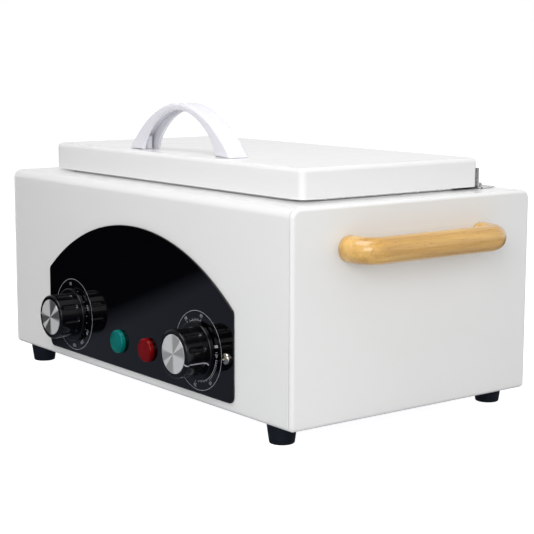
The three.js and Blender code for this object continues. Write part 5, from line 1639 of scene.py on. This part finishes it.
class STERILIZER_OT_carried_parts(Operator):
    """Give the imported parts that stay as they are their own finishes"""

    bl_idname = "sterilizer.carried_parts"
    bl_label = "Carried parts"
    bl_options = {"REGISTER", "UNDO"}

    def execute(self, context):
        dressed = {
            "bottom_plate": zinc(),
            "green_lamp_body": lamp_plastic(),
            "red_lamp_body": lamp_plastic(),
            "thermostat_shaft": brass(),
            "timer_shaft": brass(),
            "thermostat_body": ivory_plastic(),
            "thermostat_bulb": copper(),
            "timer_body": zinc(),
            "heating_plate": mica(),
            "heater_clamp_plate": zinc(),
            "tank_insulation": wool(),
            "heat_shield": zinc(),
            "lid_insulation": wool(),
            "live_wire": wire_finish("brown_wire", (0.1, 0.028, 0.01)),
            "neutral_wire": wire_finish("blue_wire", (0.01, 0.05, 0.32)),
            "earth_wire": wire_finish("green_wire", (0.07, 0.26, 0.02)),
            "timer_wire": sleeve_finish(),
            "heater_wire": sleeve_finish(),
        }
        for side in ("left", "right"):
            dressed[f"{side}_lid_handle_screw"] = zinc()
            dressed[f"{side}_side_handle_front_screw"] = zinc()
            dressed[f"{side}_side_handle_rear_screw"] = zinc()
        for node, material in dressed.items():
            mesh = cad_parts[node].data
            mesh.materials.clear()
            mesh.materials.append(material)
        plain = [n for n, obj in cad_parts.items() if not obj.hide_render and n not in dressed]
        if plain:
            raise RuntimeError(f"these packed parts have no finish: {plain}")
        return {"FINISHED"}


# Where each softbox stands, what it points at and how wide it is
SOFTBOXES = {
    "top": ((0.1, -0.35, 0.9), (0, -0.05, 0.15), 0.6),
    "front": ((0.15, -0.85, 0.35), (0.03, -0.1, 0.1), 0.5),
    "side": ((0.75, -0.75, 0.5), (0.16, 0, 0.08), 0.5),
}


class STERILIZER_OT_stage(Operator):
    """Set the floor, the light and the camera"""

    bl_idname = "sterilizer.stage"
    bl_label = "Stage"
    bl_options = {"REGISTER", "UNDO"}

    def execute(self, context):
        studio = context.scene.sterilizer_studio
        self.floor(context, studio)
        self.dark_card()
        self.flag()
        self.surroundings(context, studio)
        for side, (place, target, size) in SOFTBOXES.items():
            self.softbox(f"{side}_softbox", place, target, size, getattr(studio, f"{side}_light"))
        self.camera(context, studio)
        context.scene.view_settings.view_transform = "Standard"
        return {"FINISHED"}

    def floor(self, context, studio):
        width = 14
        floor = add_sheet("floor", (0, 0, 0), (0, 0, 0), width, width)
        material = moulded(
            "studio_floor", chosen("floor"), (0.55, 0.6), tone=1.5, grain=60, bump=0.001,
            drift=0.995, Specular_IOR_Level=0.0, Emission_Color=(1, 1, 1, 1)
        )
        tree = material.node_tree
        glow = spread(
            tree, put(tree, "LightPath")["Is Camera Ray"], 0.0, 1.0, studio.floor_glow, studio.floor_white
        )
        shader = next(node for node in tree.nodes if node.type == "BSDF_PRINCIPLED")
        tree.links.new(glow, shader.inputs["Emission Strength"])
        floor.data.materials.append(material)

    def dark_card(self):
        """A sheet that only shows in reflections, grey up to a slanting edge and dark beyond it."""
        card = add_sheet("dark_card", (-1.15, -0.75, 0.4 * MM), (0, 0, 0), 2.7, 3.5)
        to_edge, across_edge = (0.298, 0.299, 0), (-0.809, 0.588, 0)
        near_tint, far_tint = (0.165, 0.185, 0.235, 1), (0.01, 0.011, 0.015, 1)
        material = bpy.data.materials.new("card")
        tree = blank_tree(material)
        place = put(tree, "Mapping", Vector=put(tree, "TexCoord")["Object"], Location=to_edge)["Vector"]
        beyond_edge = put(tree, "VectorMath", {"operation": "DOT_PRODUCT"}, Vector=place)
        beyond_edge[1].node.inputs[1].default_value = across_edge
        shade = spread(tree, beyond_edge["Value"], -0.02, 0.025)
        tint = blend_colours(tree, shade, near_tint, far_tint)
        glow = put(tree, "Emission", Color=tint, Strength=1.0)["Emission"]
        put(tree, "OutputMaterial", Surface=glow)
        card.data.materials.append(material)
        card.visible_camera = False
        card.visible_diffuse = False
        card.visible_shadow = False
        card.visible_transmission = False

    def flag(self):
        """A dark sheet out of shot that keeps light off the upper left of the front."""
        flag = add_sheet("flag", (-0.3, -0.42, 0.36), (0, QUARTER, 0), 0.5, 0.62)
        flag.data.materials.append(moulded("flag_cloth", (0.03, 0.03, 0.032), (0.9, 0.95), tone=3, grain=60, bump=0.01))
        flag.visible_camera = False
        flag.visible_glossy = False

    def surroundings(self, context, studio):
        world = bpy.data.worlds.new("studio")
        context.scene.world = world
        tree = blank_tree(world)
        seen = put(tree, "Background", Color=(1, 1, 1, 1), Strength=1.0)["Background"]
        way = put(tree, "SeparateXYZ", Vector=put(tree, "TexCoord")["Generated"])
        strength = studio.ambient
        for axis, slope in zip("XYZ", studio.ambient_slope):
            strength = calculate(tree, "ADD", strength, calculate(tree, "MULTIPLY", way[axis], slope))
        strength = calculate(tree, "MAXIMUM", strength, 0.0)
        light = put(tree, "Background", Color=(1, 1, 1, 1), Strength=strength)["Background"]
        mix = tree.nodes.new("ShaderNodeMixShader")
        tree.links.new(put(tree, "LightPath")["Is Camera Ray"], mix.inputs[0])
        tree.links.new(light, mix.inputs[1])
        tree.links.new(seen, mix.inputs[2])
        put(tree, "OutputWorld", Surface=mix.outputs[0])

    def softbox(self, name, place, target, size, power):
        data = bpy.data.lights.new(name, "AREA")
        data.shape = "SQUARE"
        data.size = size
        data.energy = power
        lamp = bpy.data.objects.new(name, data)
        lamp.location = place
        lamp.rotation_euler = (Vector(target) - Vector(place)).to_track_quat("-Z", "Y").to_euler()
        bpy.context.scene.collection.objects.link(lamp)

    def camera(self, context, studio):
        data = bpy.data.cameras.new("camera")
        data.lens = studio.lens
        camera = bpy.data.objects.new("camera", data)
        context.scene.collection.objects.link(camera)
        azimuth, elevation, roll = studio.azimuth, studio.elevation, studio.roll
        back = Vector((
            math.sin(azimuth) * math.cos(elevation), -math.cos(azimuth) * math.cos(elevation), math.sin(elevation)
        ))
        right = Vector((math.cos(azimuth), math.sin(azimuth), 0))
        up = back.cross(right)
        turned_right = math.cos(roll) * right + math.sin(roll) * up
        turned_up = math.cos(roll) * up - math.sin(roll) * right
        matrix = Matrix((turned_right, turned_up, back)).transposed().to_4x4()
        camera.matrix_world = Matrix.Translation(studio.camera_place) @ matrix
        data.clip_start, data.clip_end = 0.01, 50
        context.scene.camera = camera


PIECES = (
    STERILIZER_OT_case_wrap,
    STERILIZER_OT_end_panels,
    STERILIZER_OT_feet,
    STERILIZER_OT_fascia,
    STERILIZER_OT_lamps,
    STERILIZER_OT_knobs,
    STERILIZER_OT_scales,
    STERILIZER_OT_chamber,
    STERILIZER_OT_lid,
    STERILIZER_OT_lid_handle,
    STERILIZER_OT_hinge,
    STERILIZER_OT_side_handles,
    STERILIZER_OT_inlet,
    STERILIZER_OT_carried_parts,
    STERILIZER_OT_stage,
)


class STERILIZER_PT_pieces(Panel):
    """Lists the pieces and the sizes that they are made from"""

    bl_idname = "STERILIZER_PT_pieces"
    bl_label = "Dry Heat Sterilizer"
    bl_space_type = "VIEW_3D"
    bl_region_type = "UI"
    bl_category = "Sterilizer"

    def draw(self, context):
        for piece in PIECES:
            self.layout.operator(piece.bl_idname)
        for name in SETTINGS:
            box = self.layout.box()
            settings = getattr(context.scene, name)
            for key in settings.bl_rna.properties.keys():
                if key not in ("rna_type", "name"):
                    box.prop(settings, key)


SETTINGS = {
    "sterilizer_case": CaseSizes,
    "sterilizer_front": FrontSizes,
    "sterilizer_chamber": ChamberSizes,
    "sterilizer_lid": LidSizes,
    "sterilizer_bars": BarSizes,
    "sterilizer_colours": Colours,
    "sterilizer_studio": Studio,
}
CLASSES = (*SETTINGS.values(), *PIECES, STERILIZER_PT_pieces)


def register():
    for cls in CLASSES:
        bpy.utils.register_class(cls)
    for name, cls in SETTINGS.items():
        setattr(bpy.types.Scene, name, PointerProperty(type=cls))


def unregister():
    for name in SETTINGS:
        delattr(bpy.types.Scene, name)
    for cls in reversed(CLASSES):
        bpy.utils.unregister_class(cls)


def main():
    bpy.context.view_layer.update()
    register()
    for piece in PIECES:
        family, action = piece.bl_idname.split(".")
        getattr(getattr(bpy.ops, family), action)()


if __name__ == "__main__":
    main()
